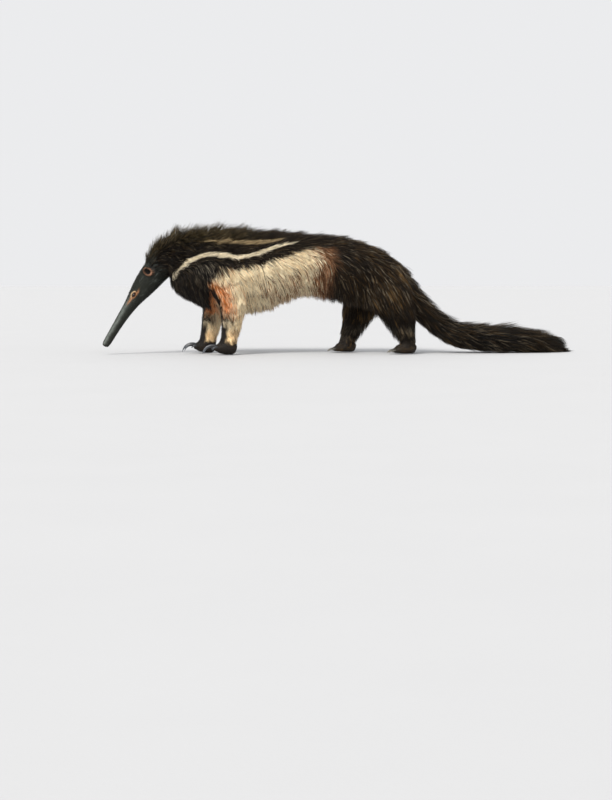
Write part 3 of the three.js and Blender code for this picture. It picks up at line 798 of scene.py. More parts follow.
# Markings seen from the side: stripes of (x, z, half width), and edges of the cream flank
STRIPE = [
    (-496, 286, 1.5), (-482, 310, 4), (-462, 334, 6), (-434, 358, 7.5), (-374, 384, 8.5), (-318, 384, 8.5),
    (-254, 372, 8), (-191, 380, 8), (-113, 411, 7), (-62, 424, 5), (-14, 432, 1),
]
STRIPE_REACH = 26  # millimetres to each side where the hair lies along the stripe
DIM_STRIPE = [
    (-392, 433, 2), (-330, 438, 5.5), (-236, 428, 7), (-160, 430, 8), (-104, 438, 5.5), (-70, 443, 1),
]
CREAM_TOP = ([-360, -347, -316, -254, -168, -88, 0, 60, 130], [262, 284, 304, 322, 330, 358, 398, 411, 408])
CREAM_FRONT = ([150, 185, 230, 290], [-338, -350, -353, -346])
CREAM_REAR = ([140, 230, 330, 410], [66, 100, 128, 122])


def by_line(points, line):
    """Seen from the side, how far points are from a rounded line, and its half width and direction there."""
    line = np.array(line, float)
    finer = np.linspace(0, len(line) - 1, 12 * len(line))
    columns = [np.interp(finer, np.arange(len(line)), line[:, c]) for c in range(3)]
    x, z, half = (np.convolve(np.pad(c, 5, mode="edge"), np.full(11, 1 / 11), "valid") for c in columns)
    away = np.hypot(points[:, 0, None] - x, points[:, 2, None] - z)
    nearest = away.argmin(1)
    heading = unit(np.stack([np.gradient(x), np.zeros(len(x)), np.gradient(z)], -1))
    return away.min(1), half[nearest], heading[nearest]


def on_stripe(points, line):
    away, half, _ = by_line(points, line)
    return 1 - soft(away, half * 0.75, half * 1.2)


def layered(colour, *layers):
    """A colour for each point with others laid over it, each a tint's name or colours, and its share."""
    for tint, share in layers:
        over = TINTS[tint] if isinstance(tint, str) else tint
        colour = colour + (over - colour) * np.clip(share, 0, 1)[:, None]
    return colour


def body_colour(points, number, u, angle, luck, fleck):
    """The coat's colour near the skin. luck is a random share for each lock, and fleck for each tuft."""
    kinds = KINDS[number]
    x, z = points[:, 0], points[:, 2]
    far_back = soft(x, 60, 300) * (1 - 0.7 * soft(x, 400, 560))
    shoulder = hill((x + 365) / 45, (z - 318) / 38)
    colour = layered(
        np.tile(TINTS["neck"], (len(points), 1)),
        ("back", soft(x, -430, -250)),
        ("rump", soft(x, 120, 300)),
        ("tail", soft(x, 420, 560)),
        ("black", soft(-x, 300, 360) * (1 - soft(z, 330, 400))),
        ("gold", soft(luck, 0.45, 1.0) * soft(x, -520, 200) * (0.05 + 0.05 * far_back)),
        ("gold", soft(fleck, 0.76, 0.92) * (0.14 + 0.25 * far_back)),
        ("grey", soft(fleck, 0.93, 0.95) * (0.22 + 0.4 * far_back)),
        ("grey", soft(fleck, 0.78, 0.86) * shoulder * 0.6),
        ("dim_stripe", on_stripe(points, DIM_STRIPE) * (0.35 + 0.6 * fleck)),
        ("stripe", on_stripe(points, STRIPE)),
    )
    worn = (luck - 0.5) * 9
    below = soft(np.interp(x, *CREAM_TOP) - z + worn, -4, 4)
    behind = soft(x - np.interp(z, *CREAM_FRONT) + worn, -5, 5)
    rear_edge = np.interp(z, *CREAM_REAR) - x + worn * 2
    pale = below * behind * soft(rear_edge, -22, 16) * np.isin(kinds, ("torso", "foreleg"))
    strand = (luck * 0.4 + fleck * 0.6 - 0.5) * 1.25 + 0.5
    colour = paint_pale(colour, pale, x, z, rear_edge, strand)
    for kind, paint, varying in (
        ("foreleg", paint_foreleg, strand),
        ("hindleg", paint_hindleg, luck),
        ("head", paint_head, luck),
        ("ear", paint_ear, luck),
    ):
        here = kinds == kind
        colour[here] = paint(colour[here], points[here], u[here], angle[here], varying[here])
    feet = np.isin(kinds, ("paw", "toe"))
    colour[feet] = paint_feet(points[feet], luck[feet])
    return colour


def paint_pale(colour, share, x, z, rear_edge, luck):
    """Cream hair with sand, rust and umber strands, rusty at its front and rear edges."""
    low = 1 - soft(z, 215, 330)
    front_edge = x - np.interp(z, *CREAM_FRONT) + (luck - 0.5) * 34
    front = 1 - soft(front_edge, 2, 42) - soft(z, 262, 300)
    rear = np.maximum(1 - soft(rear_edge, 0, 130), 0.5 * low * soft(x, -280, -20))
    rusty = luck - 0.88 + 0.9 * rear
    dark = soft(luck, 0.92 - 0.15 * low, 0.94 - 0.15 * low)
    hair = layered(
        np.tile(TINTS["cream"], (len(x), 1)),
        ("sand", soft(luck, 0.45, 0.7) * 0.6),
        ("russet", np.maximum(soft(rusty, -0.05, 0.05) * 0.85, soft(luck, 0.8, 0.84) * 0.6)),
        ("rust", front * 0.9),
        ("umber", np.maximum(dark, soft(luck - 1.08 + 0.75 * rear, -0.05, 0.05)) * 0.85),
    )
    return layered(colour, (hair, share))


def ragged(points):
    """A few millimetres to and fro, changing slowly over the coat, to break up a marking's edge."""
    x, y, z = points.T
    coarse = 5 * np.sin(x * 0.11 + y * 0.07 + 2) + 4 * np.sin(z * 0.17 - y * 0.13)
    return coarse + 3 * np.sin(x * 0.31 + z * 0.23 + 1)


def paint_foreleg(colour, points, u, angle, luck):
    """A pale leg with a dark line down its front, a dark patch at its wrist and a dark foot."""
    shift = ragged(points) + (luck - 0.5) * 16
    z = points[:, 2] + shift
    low = soft(284 - z, 0, 30)
    front = np.abs(angle) + shift * 0.012
    ankle = 1 - soft(z, 70, 120)
    reddish = soft(front, 1.0, 2.0) * soft(z, 105, 165) * (0.5 + 0.5 * soft(luck, 0.2, 0.6))
    some = 0.5 + 0.5 * soft(luck, 0.2, 0.5)
    hair = layered(
        np.tile(TINTS["cream"], (len(u), 1)),
        ("sand", np.maximum(soft(luck, 0.45, 0.7) * 0.8, ankle * some)),
        ("rust", np.maximum(reddish, soft(luck, 0.8, 0.84) * 0.7)),
        ("umber", soft(luck, 0.86 - 0.2 * ankle, 0.88 - 0.2 * ankle) * 0.8),
    )
    line = soft(front, 2.4, 2.65) * low
    patch = hill((z - 130) / 18) * soft(front, 0.9, 1.7) * some
    shin = soft(front, 1.55, 2.1) * (1 - soft(z, 96, 130))
    foot = 1 - soft(z, 36, 58)
    return layered(colour, (hair, low), ("paw", np.maximum.reduce([line, patch, shin, foot])))


def paint_hindleg(colour, points, u, angle, luck):
    z = points[:, 2]
    shin = (1 - soft(z, 92, 130)) * soft(z, 30, 60)
    return layered(
        colour,
        ("rump", 1 - soft(z, 140, 220)),
        ("gold", soft(luck, 0.8, 0.95) * 0.5),
        # A painted sheen: some hairs of the lower shin are paler grey.
        ("grey", shin * soft(luck, 0.6, 0.95) * 0.3),
    )


def paint_feet(points, luck):
    """Near-black forepaws and olive brown hind paws, with some paler hairs."""
    hind = soft(points[:, 0], -100, 60)
    dark = np.tile(TINTS["paw"], (len(points), 1))
    pale = soft(luck, 0.7, 0.95) * (0.14 + 0.14 * hind)
    return layered(dark, ("hind_paw", hind * (0.55 + 0.45 * luck)), ("gold", pale))


def paint_head(colour, points, u, angle, luck):
    """A dark head with a painted highlight along the upper side of the snout, some paler hairs, and tan
    round each eye.
    """
    shift = ragged(points) * 0.12
    # ridge is a painted highlight: a paler streak along the upper side of the snout.
    ridge = hill((np.abs(angle) - 0.9 + shift * 0.1) / 0.42) * soft(u, 0.02, 0.16) * (1 - soft(u, 0.48, 0.7))
    colour = layered(
        colour,
        ("head", 1 - soft(u, 0.86, 1.0) * 0.6),
        ("snout", ridge * (0.3 + 0.7 * soft(luck, 0.2, 0.8))),
        ("snout", soft(luck, 0.86, 0.95) * 0.45),
    )
    worn = 0.65 + 0.35 * luck
    for side in (-1, 1):
        same = (np.sign(points[:, 1]) == side).astype(float)
        _, along, across = from_eye(points, side)
        along, across = along + shift, across + shift
        ring = 1 - soft(np.hypot(along / 15.5, across / 10.5), 0.75, 1.15)
        streak = hill((across - 1 - along * 0.03) / (6 - along * 0.06)) * soft(along, 4, 14)
        streak *= 1 - soft(along, 30, 56)
        brow = hill((along + 15) / 11, (across + 9 + along * 0.15) / 3.2)
        under = hill((np.hypot(along / 1.3, across) - 10.5) / 2.0) * soft(across, -1, 4)
        lid = hill((np.hypot(along / 9.8, across / 6.4) - 1.0) / 0.22)
        line = hill((across - 3.4) / 1.1) * soft(along, 10, 16) * (1 - soft(along, 34, 44))
        colour = layered(
            colour,
            ("eye_tan", same * worn * np.maximum.reduce([ring, streak * 0.85, brow * 0.8])),
            ("eye_cream", same * worn * under * 0.7),
            ("paw", same * np.maximum(lid, line * 0.7)),
        )
    return layered(colour, ("paw", 1 - soft(u, 0.0, 0.1)))


def paint_ear(colour, points, u, angle, luck):
    """A dark back, a pink tan rim and a dark hollow."""
    edge = u + (luck - 0.5) * 0.16 - 0.06 * np.cos(angle)
    rim = soft(edge, 0.44, 0.58) * (1 - soft(u, 0.7, 0.86)) * (0.72 - 0.28 * np.cos(angle))
    layers = ("head", np.ones(len(u))), ("ear", rim * (0.6 + 0.4 * luck)), ("black", soft(u, 0.74, 0.9))
    return layered(colour, *layers)


# Tufts
class Skin:
    """The skin's surface with the coat's fields, for growing tufts on it."""

    def __init__(self, mesh):
        self.points = coordinates(mesh)
        self.normals = read(mesh.vertex_normals, "vector", 3).astype(float)
        self.faces = read(mesh.polygons, "vertices", 3, np.int32)
        self.fields = skin_fields(self.points, self.normals, edges_of(mesh))
        self.tree = BVHTree.FromPolygons(self.points.tolist(), self.faces.tolist())
        a, b, c = (self.points[self.faces[:, i]] for i in range(3))
        self.area = np.linalg.norm(np.cross(b - a, c - a), axis=1) / 2

    def nearest(self, points):
        """The nearest place on the skin, its normal and a vertex beside it."""
        found = [self.tree.find_nearest(p) for p in points]
        place = np.array([f[0] for f in found])
        corner = self.faces[np.array([f[2] for f in found]), 0]
        return place, self.normals[corner], corner

    def growing(self):
        """1 on faces where hair grows, and 0 round the eyes, under the ears, and on the nose and soles."""
        middle = self.points[self.faces].mean(1)
        share = np.ones(len(middle))
        for side in (-1, 1):
            away, along, across = from_eye(middle, side)
            share[(np.hypot(along / 11.5, across / 8.0) < 1.0) & (away < 20)] = 0
        for ear in EARS:
            offset = middle - ear.centre
            inside = (offset @ ear.across / 0.86) ** 2 + (offset @ ear.upward) ** 2 < EAR_RADIUS**2
            on_head = self.fields["kind"][self.faces[:, 0]] != "ear"
            share[inside & on_head & (np.abs(offset @ ear.opening) < 16)] = 0
        share[(middle - NAPE) @ NOSEWARD > HEAD_LENGTH - 9] = 0
        share[middle[:, 2] < 5] = 0
        return share

    def roots(self):
        """Random places for tufts, spread by the coat's density: face numbers and shares of each corner."""
        total = np.cumsum(self.area * self.fields["density"][self.faces[:, 0]] * self.growing())
        count = int(total[-1])
        at = (np.arange(count) + rng.random(count)) / count * total[-1]
        face = np.minimum(np.searchsorted(total, at), len(total) - 1)
        a, b = rng.random(count), rng.random(count)
        a, b = np.where(a + b > 1, 1 - a, a), np.where(a + b > 1, 1 - b, b)
        return face, np.stack([1 - a - b, a, b], -1)


TUFT_WIDTH, NARROWEST, WIDEST = 0.05, 0.7, 2.8  # a share of a tuft's length, with limits in millimetres
CLUMP_SHARES = (1 / 55, 1 / 9)  # how many tufts lead a lock and a strand of it
STEPS = (0.0, 0.34, 0.7, 1.0)  # the places along a tuft where it bends


def grow(skin):
    """The middle lines of all tufts, and what each tuft needs to be made: its kind, width and colours."""
    face, share = skin.roots()
    corners = skin.faces[face]
    fields = skin.fields

    def mixed(values):
        return (values[corners] * (share if values.ndim == 1 else share[..., None])).sum(1)

    root, normal, u = mixed(skin.points), unit(mixed(skin.normals)), mixed(fields["u"])
    number, angle, kind = (fields[name][corners[:, 0]] for name in ("number", "angle", "kind"))
    count = len(root)
    length = mixed(fields["length"]) * rng.uniform(0.72, 1.12, count)
    rise = mixed(fields["rise"]) * rng.uniform(0.3, 1.08, count)
    mane = mane_share(root, mixed(fields["angle"]), kind)
    bristle = rng.random(count) < 0.4 * mane
    rise = np.minimum(rise * np.where(bristle, 1.26, 1 + 0.22 * (rng.random(count) < 0.12)), 0.94 * length)
    droop = mixed(fields["droop"])
    tail_tip = (kind == "tail") * soft(u, 0.84, 0.96)
    ear_rim = (kind == "ear") * soft(u, 0.25, 0.45) * (1 - soft(u, 0.6, 0.75)) * 0.8
    free = np.clip(np.maximum.reduce([droop * 1.25, tail_tip, ear_rim]), 0, 1)
    power = np.clip(1.9 - 1.2 * rise / length, 1.05, 1.8)
    travel = np.sqrt(np.maximum(length**2 - rise**2, (0.45 * length) ** 2))
    turn = rng.normal(0, 0.13, count) + wander(root)

    line = [root - normal * np.minimum(0.08 * length, 1.6)[:, None]]
    lie, out = mixed(fields["lie"]), normal
    at = root
    for before, now in zip(STEPS[:-1], STEPS[1:]):
        heading = unit(lie * np.cos(turn)[:, None] + np.cross(out, lie) * np.sin(turn)[:, None])
        place, out, corner = skin.nearest(at + heading * (travel * (now - before))[:, None])
        lie = fields["lie"][corner]
        laid = place + out * (rise * (1 - (1 - now) ** power))[:, None]
        pull = (droop * now)[:, None]
        fall = unit(heading * (1 - pull) - UPWARD * pull + out * 0.12)
        hung = line[-1] + fall * (length * (now - before))[:, None]
        at = laid + (hung - laid) * free[:, None]
        at[:, 2] = np.maximum(at[:, 2], SOLE)
        line.append(at)
    line = np.stack(line, 1)
    luck = rng.random(count)
    pull = np.where(bristle, 0.16, np.array([COAT[k]["clump"] for k in kind]) + 0.22 * mane)
    for share in CLUMP_SHARES:
        chosen = np.flatnonzero(rng.random(count) < share)
        leader = chosen[nearest_of(root[chosen], root)]
        line = clumped(line, root, pull, leader)
        luck = np.where(rng.random(count) < 0.5, luck[leader], luck)
    width = np.clip(length * TUFT_WIDTH, NARROWEST, WIDEST) * rng.uniform(0.75, 1.2, count)
    width *= 1 + 0.4 * mane
    return dict(
        line=line, root=root, normal=normal, kind=kind, width=width, length=length, number=number, u=u,
        angle=angle, luck=luck, fleck=rng.random(count), mane=mane,
    )


def wander(points):
    """A slow change of direction over the coat, in radians."""
    x, y, z = points.T / 1000
    return 0.10 * np.sin(31 * x + 23 * z + 1.7) + 0.08 * np.sin(57 * z - 41 * x + 19 * y)


def mane_share(root, angle, kind):
    """1 on the crest of the neck and withers, where stiff spikes of hair stand up."""
    crest = 1 - soft(np.abs(angle), 0.5, 0.95)
    return crest * (1 - soft(root[:, 0], -330, -150)) * np.isin(kind, ("neck", "torso"))


def clumped(line, root, pull, leader):
    """Draws the ends of tufts together towards their leader."""
    pull = pull * rng.uniform(0.5, 1.4, len(root))
    for step, t in enumerate(STEPS):
        target = line[leader, step] + (root - root[leader]) * (1 - 0.85 * t)
        line[:, step] += (target - line[:, step]) * (pull * t**1.2)[:, None]
    line[:, 1:, 2] = np.maximum(line[:, 1:, 2], SOLE)
    return line


# Meshes of tufts
TAPER = (1.0, 0.82, 0.5)  # how wide a tuft is at each of its rings
SHORT_KINDS = ("head", "ear", "paw", "toe")
PATCH = 0.003  # how wide a tuft is on the map
BRIGHTEST = 0.95  # the most light that any hair gives back


def tuft_faces(rings):
    """The triangles of one tuft with this many rings and a point at its tip."""
    faces = [(0, 1, 2)]
    for a in range(0, rings * 3 - 3, 3):
        for j in range(3):
            k = (j + 1) % 3
            faces += [(a + j, a + k, a + 3 + k), (a + j, a + 3 + k, a + 3 + j)]
    last = rings * 3 - 3
    return np.array(faces + [(last + j, last + (j + 1) % 3, rings * 3) for j in range(3)])


def tuft_block(own, rings):
    """Points, faces, colours, strand places and map places of tufts: flat, and tapering to a point."""
    line, width, luck, fleck = own["line"], own["width"], own["luck"], own["fleck"]
    sections, along, across = [], [], []
    for ring in rings:
        onward = unit(line[:, ring + 1] - line[:, max(ring - 1, 0)])
        side = unit(np.cross(onward, own["normal"]))
        half = (width * TAPER[ring] / 2)[:, None]
        here, wide, up = line[:, ring], side * half, np.cross(side, onward) * half
        sections += [here + wide - up * 0.2, here - wide - up * 0.2, here + up * 0.45]
        along += [STEPS[ring]] * 3
        across += [1, -1, 0]
    points = np.stack([*sections, line[:, 3]], 1)
    along, across = np.array([*along, 1.0]), np.array([*across, 0.0])
    count, per = points.shape[:2]
    faces = (np.arange(count)[:, None, None] * per + tuft_faces(len(rings))[None]).reshape(-1, 3)
    seen = line[:, 1] * 0.2 + line[:, 2] * 0.8
    colour = body_colour(seen, own["number"], own["u"], own["angle"], luck, fleck)
    # Painted shade: each tuft is darker at its root, where the coat shadows itself, and dark hair is
    # darkened more than pale hair. Each tuft is also lighter towards its tip, as hair ends are. The last
    # factor is a random tone for each tuft.
    painted_root_shade = 0.55 + 0.45 * colour.max(1)[:, None]
    shade = (painted_root_shade + (1.3 - painted_root_shade) * along) * (0.82 + 0.36 * ((luck * 7.3 + fleck) % 1))[:, None]
    tipped = own["mane"][:, None] * (0.04 + 0.42 * fleck[:, None]) * along**2
    tint = (colour[:, None] + (TINTS["olive"] - colour[:, None]) * tipped[..., None]) * shade[..., None]
    tint *= BRIGHTEST / np.maximum(tint.max(-1, keepdims=True), BRIGHTEST)
    strand = np.empty((count, per, 3))
    strand[..., 0] = along * own["length"][:, None]
    strand[..., 1] = across * width[:, None] / 2
    strand[..., 2] = fleck[:, None] * 400
    spot = own["spot"][:, None] + np.stack([across, along * 2 - 1], -1)[None] * PATCH / 2
    return points.reshape(-1, 3), faces, tint.reshape(-1, 3), strand.reshape(-1, 3), spot.reshape(-1, 2)


def raw_mesh(name, points, faces):
    """A triangle mesh made straight from arrays, smooth-shaded."""
    mesh = bpy.data.meshes.new(name)
    mesh.vertices.add(len(points))
    write(mesh.vertices, "co", points)
    mesh.loops.add(len(faces) * 3)
    write(mesh.loops, "vertex_index", faces, np.int32)
    mesh.polygons.add(len(faces))
    write(mesh.polygons, "loop_start", np.arange(0, len(faces) * 3, 3), np.int32)
    shade_smooth(mesh)
    mesh.update(calc_edges=True)
    return mesh


def coat_piece(name, tufts, chosen, material):
    short = np.isin(tufts["kind"][chosen], SHORT_KINDS)
    blocks, faces, first = [], [], 0
    for group, rings in ((chosen[short], (0, 2)), (chosen[~short], (0, 1, 2))):
        if len(group):
            blocks.append(tuft_block({key: values[group] for key, values in tufts.items()}, rings))
            faces.append(blocks[-1][1] + first)
            first += len(blocks[-1][0])
    points, tint, strand, spot = (np.vstack([block[i] for block in blocks]) for i in (0, 2, 3, 4))
    mesh = raw_mesh(name, to_scene(points), np.vstack(faces))
    set_attribute(mesh, "tint", "FLOAT_COLOR", tint)
    set_attribute(mesh, "strand", "FLOAT_VECTOR", strand)
    map_of_places = mesh.uv_layers.new(name="OFBake")
    write(map_of_places.data, "uv", spot[read(mesh.loops, "vertex_index", 1, np.int32)])
    mesh.materials.append(material)
    return link(name, mesh)


def spread_over(values, low, high):
    """Values moved evenly to lie between low and high."""
    reach = max(values.max() - values.min(), 1e-6)
    return low + (high - low) * (values - values.min()) / reach


MAP_WIDTHS, MAP_WIDTH = {"toe": 1.0, "paw": 3.0}, 12.0  # a form's share of the map, and that of all others


def map_places(tufts, chosen):
    """Where each tuft's root lies on an unwrap of the skin, its forms side by side."""
    numbers = np.unique(tufts["number"][chosen])
    weights = np.array([MAP_WIDTHS.get(KINDS[n], MAP_WIDTH) for n in numbers])
    edges = np.concatenate([[0], np.cumsum(weights / weights.sum())])
    for n, left, right in zip(numbers, edges[:-1], edges[1:]):
        here = chosen[tufts["number"][chosen] == n]
        tufts["spot"][here, 0] = spread_over(tufts["angle"][here], left + PATCH * 2, right - PATCH * 2)
        tufts["spot"][here, 1] = spread_over(tufts["u"][here], PATCH * 2, 1 - PATCH * 2)


TORSO_SPLIT, TAIL_SPLIT = -60, 700  # where the coat's pieces part


def coat_regions(tufts):
    """The tufts of each piece of the coat, by the part that they grow on."""
    owner = np.array([form.name for form in FORMS])[tufts["number"]]
    x, left = tufts["root"][:, 0], tufts["root"][:, 1] < 0
    found = {"coat_head": np.isin(owner, ("head", "ear_left", "ear_right")), "coat_neck": owner == "neck"}
    torso, tail = owner == "torso", owner == "tail"
    for side, here in (("left", left), ("right", ~left)):
        found[f"coat_torso_front_{side}"] = torso & here & (x < TORSO_SPLIT)
        found[f"coat_torso_rear_{side}"] = torso & here & (x >= TORSO_SPLIT)
    found["coat_tail_base"] = tail & (x < TAIL_SPLIT)
    found["coat_tail_end"] = tail & (x >= TAIL_SPLIT)
    for leg in LEGS:
        found["coat_" + leg["name"]] = np.char.startswith(owner, leg["name"])
    return {name: np.flatnonzero(here) for name, here in found.items()}


# Materials
USUAL_LOW, USUAL_HIGH = 0.3, 0.7  # the range that most noise lies in


class Nodes:
    """A small helper for writing a material's nodes."""

    def __init__(self, name):
        self.material = bpy.data.materials.new(name)
        self.material.use_nodes = True
        self.tree = self.material.node_tree
        self.shader = self.tree.nodes["Principled BSDF"]

    def feed(self, node, **inputs):
        """Gives each input a value, or joins it to another node's output."""
        for name, value in inputs.items():
            target = node.inputs[name.replace("_", " ")]
            if isinstance(value, bpy.types.NodeSocket):
                self.tree.links.new(value, target)
            else:
                target.default_value = value

    def add(self, kind, output, setting=None, **inputs):
        """A new node's output. setting is the name and the value of one property of the node."""
        node = self.tree.nodes.new(kind)
        if setting:
            setattr(node, *setting)
        self.feed(node, **inputs)
        return node.outputs[output]

    def attribute(self, name, output):
        return self.add("ShaderNodeAttribute", output, ("attribute_name", name))

    def noise(self, place, scale, detail, rough=0.6):
        inputs = dict(Vector=place, Scale=scale, Detail=detail, Roughness=rough)
        return self.add("ShaderNodeTexNoise", "Fac", **inputs)

    def streaks(self, name, scale, detail, rough=0.6):
        """Noise over the places in an attribute, drawn out by a scale for each direction."""
        place = self.add("ShaderNodeMapping", "Vector", Vector=self.attribute(name, "Vector"), Scale=scale)
        return self.noise(place, 1.0, detail, rough)

    def ranged(self, noise, low, high):
        """Noise stretched over its usual range to lie between low and high."""
        usual = dict(From_Min=USUAL_LOW, From_Max=USUAL_HIGH)
        return self.add("ShaderNodeMapRange", "Result", Value=noise, To_Min=low, To_Max=high, **usual)

    def ramp(self, factor, *stops):
        """A colour that changes with a factor, through stops of (place, colour)."""
        node = self.tree.nodes.new("ShaderNodeValToRGB")
        elements = node.color_ramp.elements
        elements.remove(elements[1])
        for number, (place, colour) in enumerate(stops):
            stop = elements[0] if number == 0 else elements.new(place)
            stop.position = place
            stop.color = (*colour, 1)
        self.feed(node, Fac=factor)
        return node.outputs["Color"]

    def coloured(self, colour, shades, rough):
        """Joins a colour, made lighter and darker by each of shades, and a roughness to the shader."""
        for shade in shades:
            inputs = dict(Vector=colour, Scale=self.ranged(*shade))
            colour = self.add("ShaderNodeVectorMath", "Vector", ("operation", "SCALE"), **inputs)
        self.feed(self.shader, Base_Color=colour, Roughness=self.ranged(*rough))

    def bump(self, height, distance, strength):
        inputs = dict(Height=height, Distance=distance, Strength=strength)
        self.feed(self.shader, Normal=self.add("ShaderNodeBump", "Normal", **inputs))

    def set(self, **values):
        self.feed(self.shader, **values)
        return self.material


def coat_material():
    """Coarse hair: many fine hairs in each tuft, with a soft gloss."""
    nodes = Nodes("coat")
    hairs = nodes.streaks("strand", (0.035, 2.6, 1.0), 2.0)
    bands = nodes.streaks("strand", (0.05, 0.1, 1.0), 1.0)
    shades = [(hairs, 0.72, 1.28), (bands, 0.85, 1.15)]
    nodes.coloured(nodes.attribute("tint", "Color"), shades, (hairs, 0.62, 0.45))
    nodes.bump(hairs, 0.0006, 0.6)
    return nodes.set(Specular_IOR_Level=0.2)


def skin_material():
    """Short flat fur: a fine grain along the lie of the coat, over slow changes of shade."""
    nodes = Nodes("skin")
    hairs = nodes.streaks("pelt", (0.09, 0.75, 1.0), 5.0, 0.75)
    patches = nodes.streaks("pelt", (0.02, 0.06, 1.0), 3.0)
    pores = nodes.streaks("pelt", (1.1, 1.3, 1.0), 2.0)
    shades = [(hairs, 0.45, 1.6), (patches, 0.85, 1.15)]
    nodes.coloured(nodes.attribute("tint", "Color"), shades, (pores, 0.48, 0.7))
    nodes.bump(hairs, 0.0011, 0.8)
    return nodes.set(Specular_IOR_Level=0.25)


EYE_STOPS = [
    (0.0, "030303"), (0.30, "040303"), (0.36, "3a2312"), (0.56, "24150b"), (0.64, "0a0706"), (0.8, "3b2c22"),
]


def eye_material():
    """A dark brown iris round a black pupil, dark white at its edge, wet and glossy."""
    nodes = Nodes("eye")
    streaks = nodes.streaks("ray", (6.0, 6.0, 0.6), 3.0)
    rings = nodes.ramp(nodes.attribute("away", "Fac"), *[(place, linear(text)) for place, text in EYE_STOPS])
    nodes.coloured(rings, [(streaks, 0.6, 1.5)], (streaks, 0.05, 0.12))
    return nodes.set(Specular_IOR_Level=0.35)


def claw_material(name, dark, light):
    """Horn with growth lines, darker at the root, worn paler at its tip, and made paler along its top, a
    painted highlight.
    """
    nodes = Nodes(name)
    lines = nodes.streaks("grain", (0.09, 2.4, 1.0), 4.0)
    rings = nodes.streaks("grain", (0.9, 0.15, 1.0), 2.0)
    horn = nodes.ramp(nodes.attribute("worn", "Fac"), (0, linear(dark)), (1, linear(light)))
    nodes.coloured(horn, [(lines, 0.65, 1.35), (rings, 0.85, 1.15)], (rings, 0.28, 0.46))
    nodes.bump(lines, 0.0004, 0.5)
    return nodes.set(Specular_IOR_Level=0.5, Coat_Weight=0.15, Coat_Roughness=0.3)


# Eyes and claws
def capped_rings(rings, sides):
    """The faces of a closed tube of rings, first the four-sided ones and then its two ends."""
    quads = tube_quads(rings - 1, sides)[:, [0, 3, 2, 1]]
    return [*quads.tolist(), list(range(sides)), list(range((rings - 1) * sides, rings * sides))[::-1]]


def build_eye(name, side):
    """An eyeball with the clear front standing a little proud."""
    centre, out = eye_place(side)
    rings, sides = 30, 48
    polar, turn = round_grid(np.linspace(0.03, math.pi - 0.03, rings), sides)
    across = unit(np.cross(out, CROWNWARD))
    upward = np.cross(across, out)
    radius = EYE_RADIUS * (0.985 + 0.07 * hill(polar / 0.5))
    shares = (np.sin(polar) * np.cos(turn), np.sin(polar) * np.sin(turn), np.cos(polar))
    ray = sum(way * share[..., None] for way, share in zip((across, upward, out), shares))
    points = (centre + ray * radius[..., None]).reshape(-1, 3)
    eye = mesh_object(name, to_scene(points), capped_rings(rings, sides))
    shade_smooth(eye.data)
    set_attribute(eye.data, "away", "FLOAT", polar.ravel() / math.pi * 2)
    set_attribute(eye.data, "ray", "FLOAT_VECTOR", np.stack([np.cos(turn), np.sin(turn), polar], -1))
    eye.data.materials.append(eye_material())
    return eye


def claw_parts(digit):
    """An oval claw, ridged on top and grooved underneath: points, faces, growth places, and wear with a
    painted highlight along its top.
    """
    rings, sides = 26, 20
    t, turn = round_grid(np.linspace(-0.12, 1, rings), sides)
    cosine, sine = math.cos(digit["heading"]), math.sin(digit["heading"])
    forward, side = np.array([cosine, sine, 0]), np.array([-sine, cosine, 0])
    slope, bend, length = digit["slope"], digit["turn"], digit["length"]
    now = slope - bend * t
    ahead = (math.sin(slope) - np.sin(now)) / bend * length
    above = (np.cos(now) - math.cos(slope)) / bend * length
    up = forward * -np.sin(now)[..., None] + UPWARD * np.cos(now)[..., None]
    share = np.clip(1 - np.maximum(t, 0), 0, 1) ** 0.8 * 0.97 + 0.012
    groove = 1 - 0.22 * hill((turn - math.pi) / 0.5)
    ridge = 1 + 0.05 * hill(np.minimum(turn, 2 * math.pi - turn) / 0.35)
    radius = digit["radius"] * share * groove * ridge
    points = digit["end"] + forward * ahead[..., None] + UPWARD * above[..., None]
    wide, high = np.sin(turn) * radius * 0.72, np.cos(turn) * radius
    points = points + side * wide[..., None] + up * high[..., None]
    grain = np.stack([t * length, turn * digit["radius"], np.full(t.shape, length * 7.0)], -1)
    # Paler towards the tip, as worn horn is, and paler along the top, which is a painted highlight.
    worn = soft(t, 0.2, 1.0) * 0.8 + 0.2 * soft(np.cos(turn), 0.5, 1)
    return points.reshape(-1, 3), capped_rings(rings, sides), grain.reshape(-1, 3), worn.ravel()


def build_claws(leg, material):
    """All the claws of one paw."""
    parts = [claw_parts(digit) for digit in leg["digits"]]
    points, faces = joined([part[:2] for part in parts])
    points[:, 2] = np.maximum(points[:, 2], 0.2)
    claws = mesh_object("horn_" + leg["name"], to_scene(points), faces)
    shade_smooth(claws.data)
    set_attribute(claws.data, "grain", "FLOAT_VECTOR", np.vstack([part[2] for part in parts]))
    set_attribute(claws.data, "worn", "FLOAT", np.concatenate([part[3] for part in parts]))
    claws.data.materials.append(material)
    return claws


# Coat
surface = Skin(skin.data)
tufts = grow(surface)
tufts["spot"] = np.zeros((len(tufts["root"]), 2))
coat = coat_material()
pieces = []
for name, chosen in coat_regions(tufts).items():
    map_places(tufts, chosen)
    piece = coat_piece(name, tufts, chosen, coat)
    pieces.append(piece)


# Skin's colours, and its move into the scene
def pelt_places(fields):
    """Millimetres along and around the form under each vertex of the skin, and a number for the form."""
    axes = [form.at(np.linspace(0, 1, 9))[:, :3] for form in FORMS]
    lengths = np.array([np.linalg.norm(np.diff(axis, axis=0), axis=1).sum() for axis in axes])
    rounds = np.array([form.at(np.array([0.5]))[0, 3:].mean() for form in FORMS])
    number = fields["number"]
    return np.stack([fields["u"] * lengths[number], fields["angle"] * rounds[number], number * 37.0], -1)


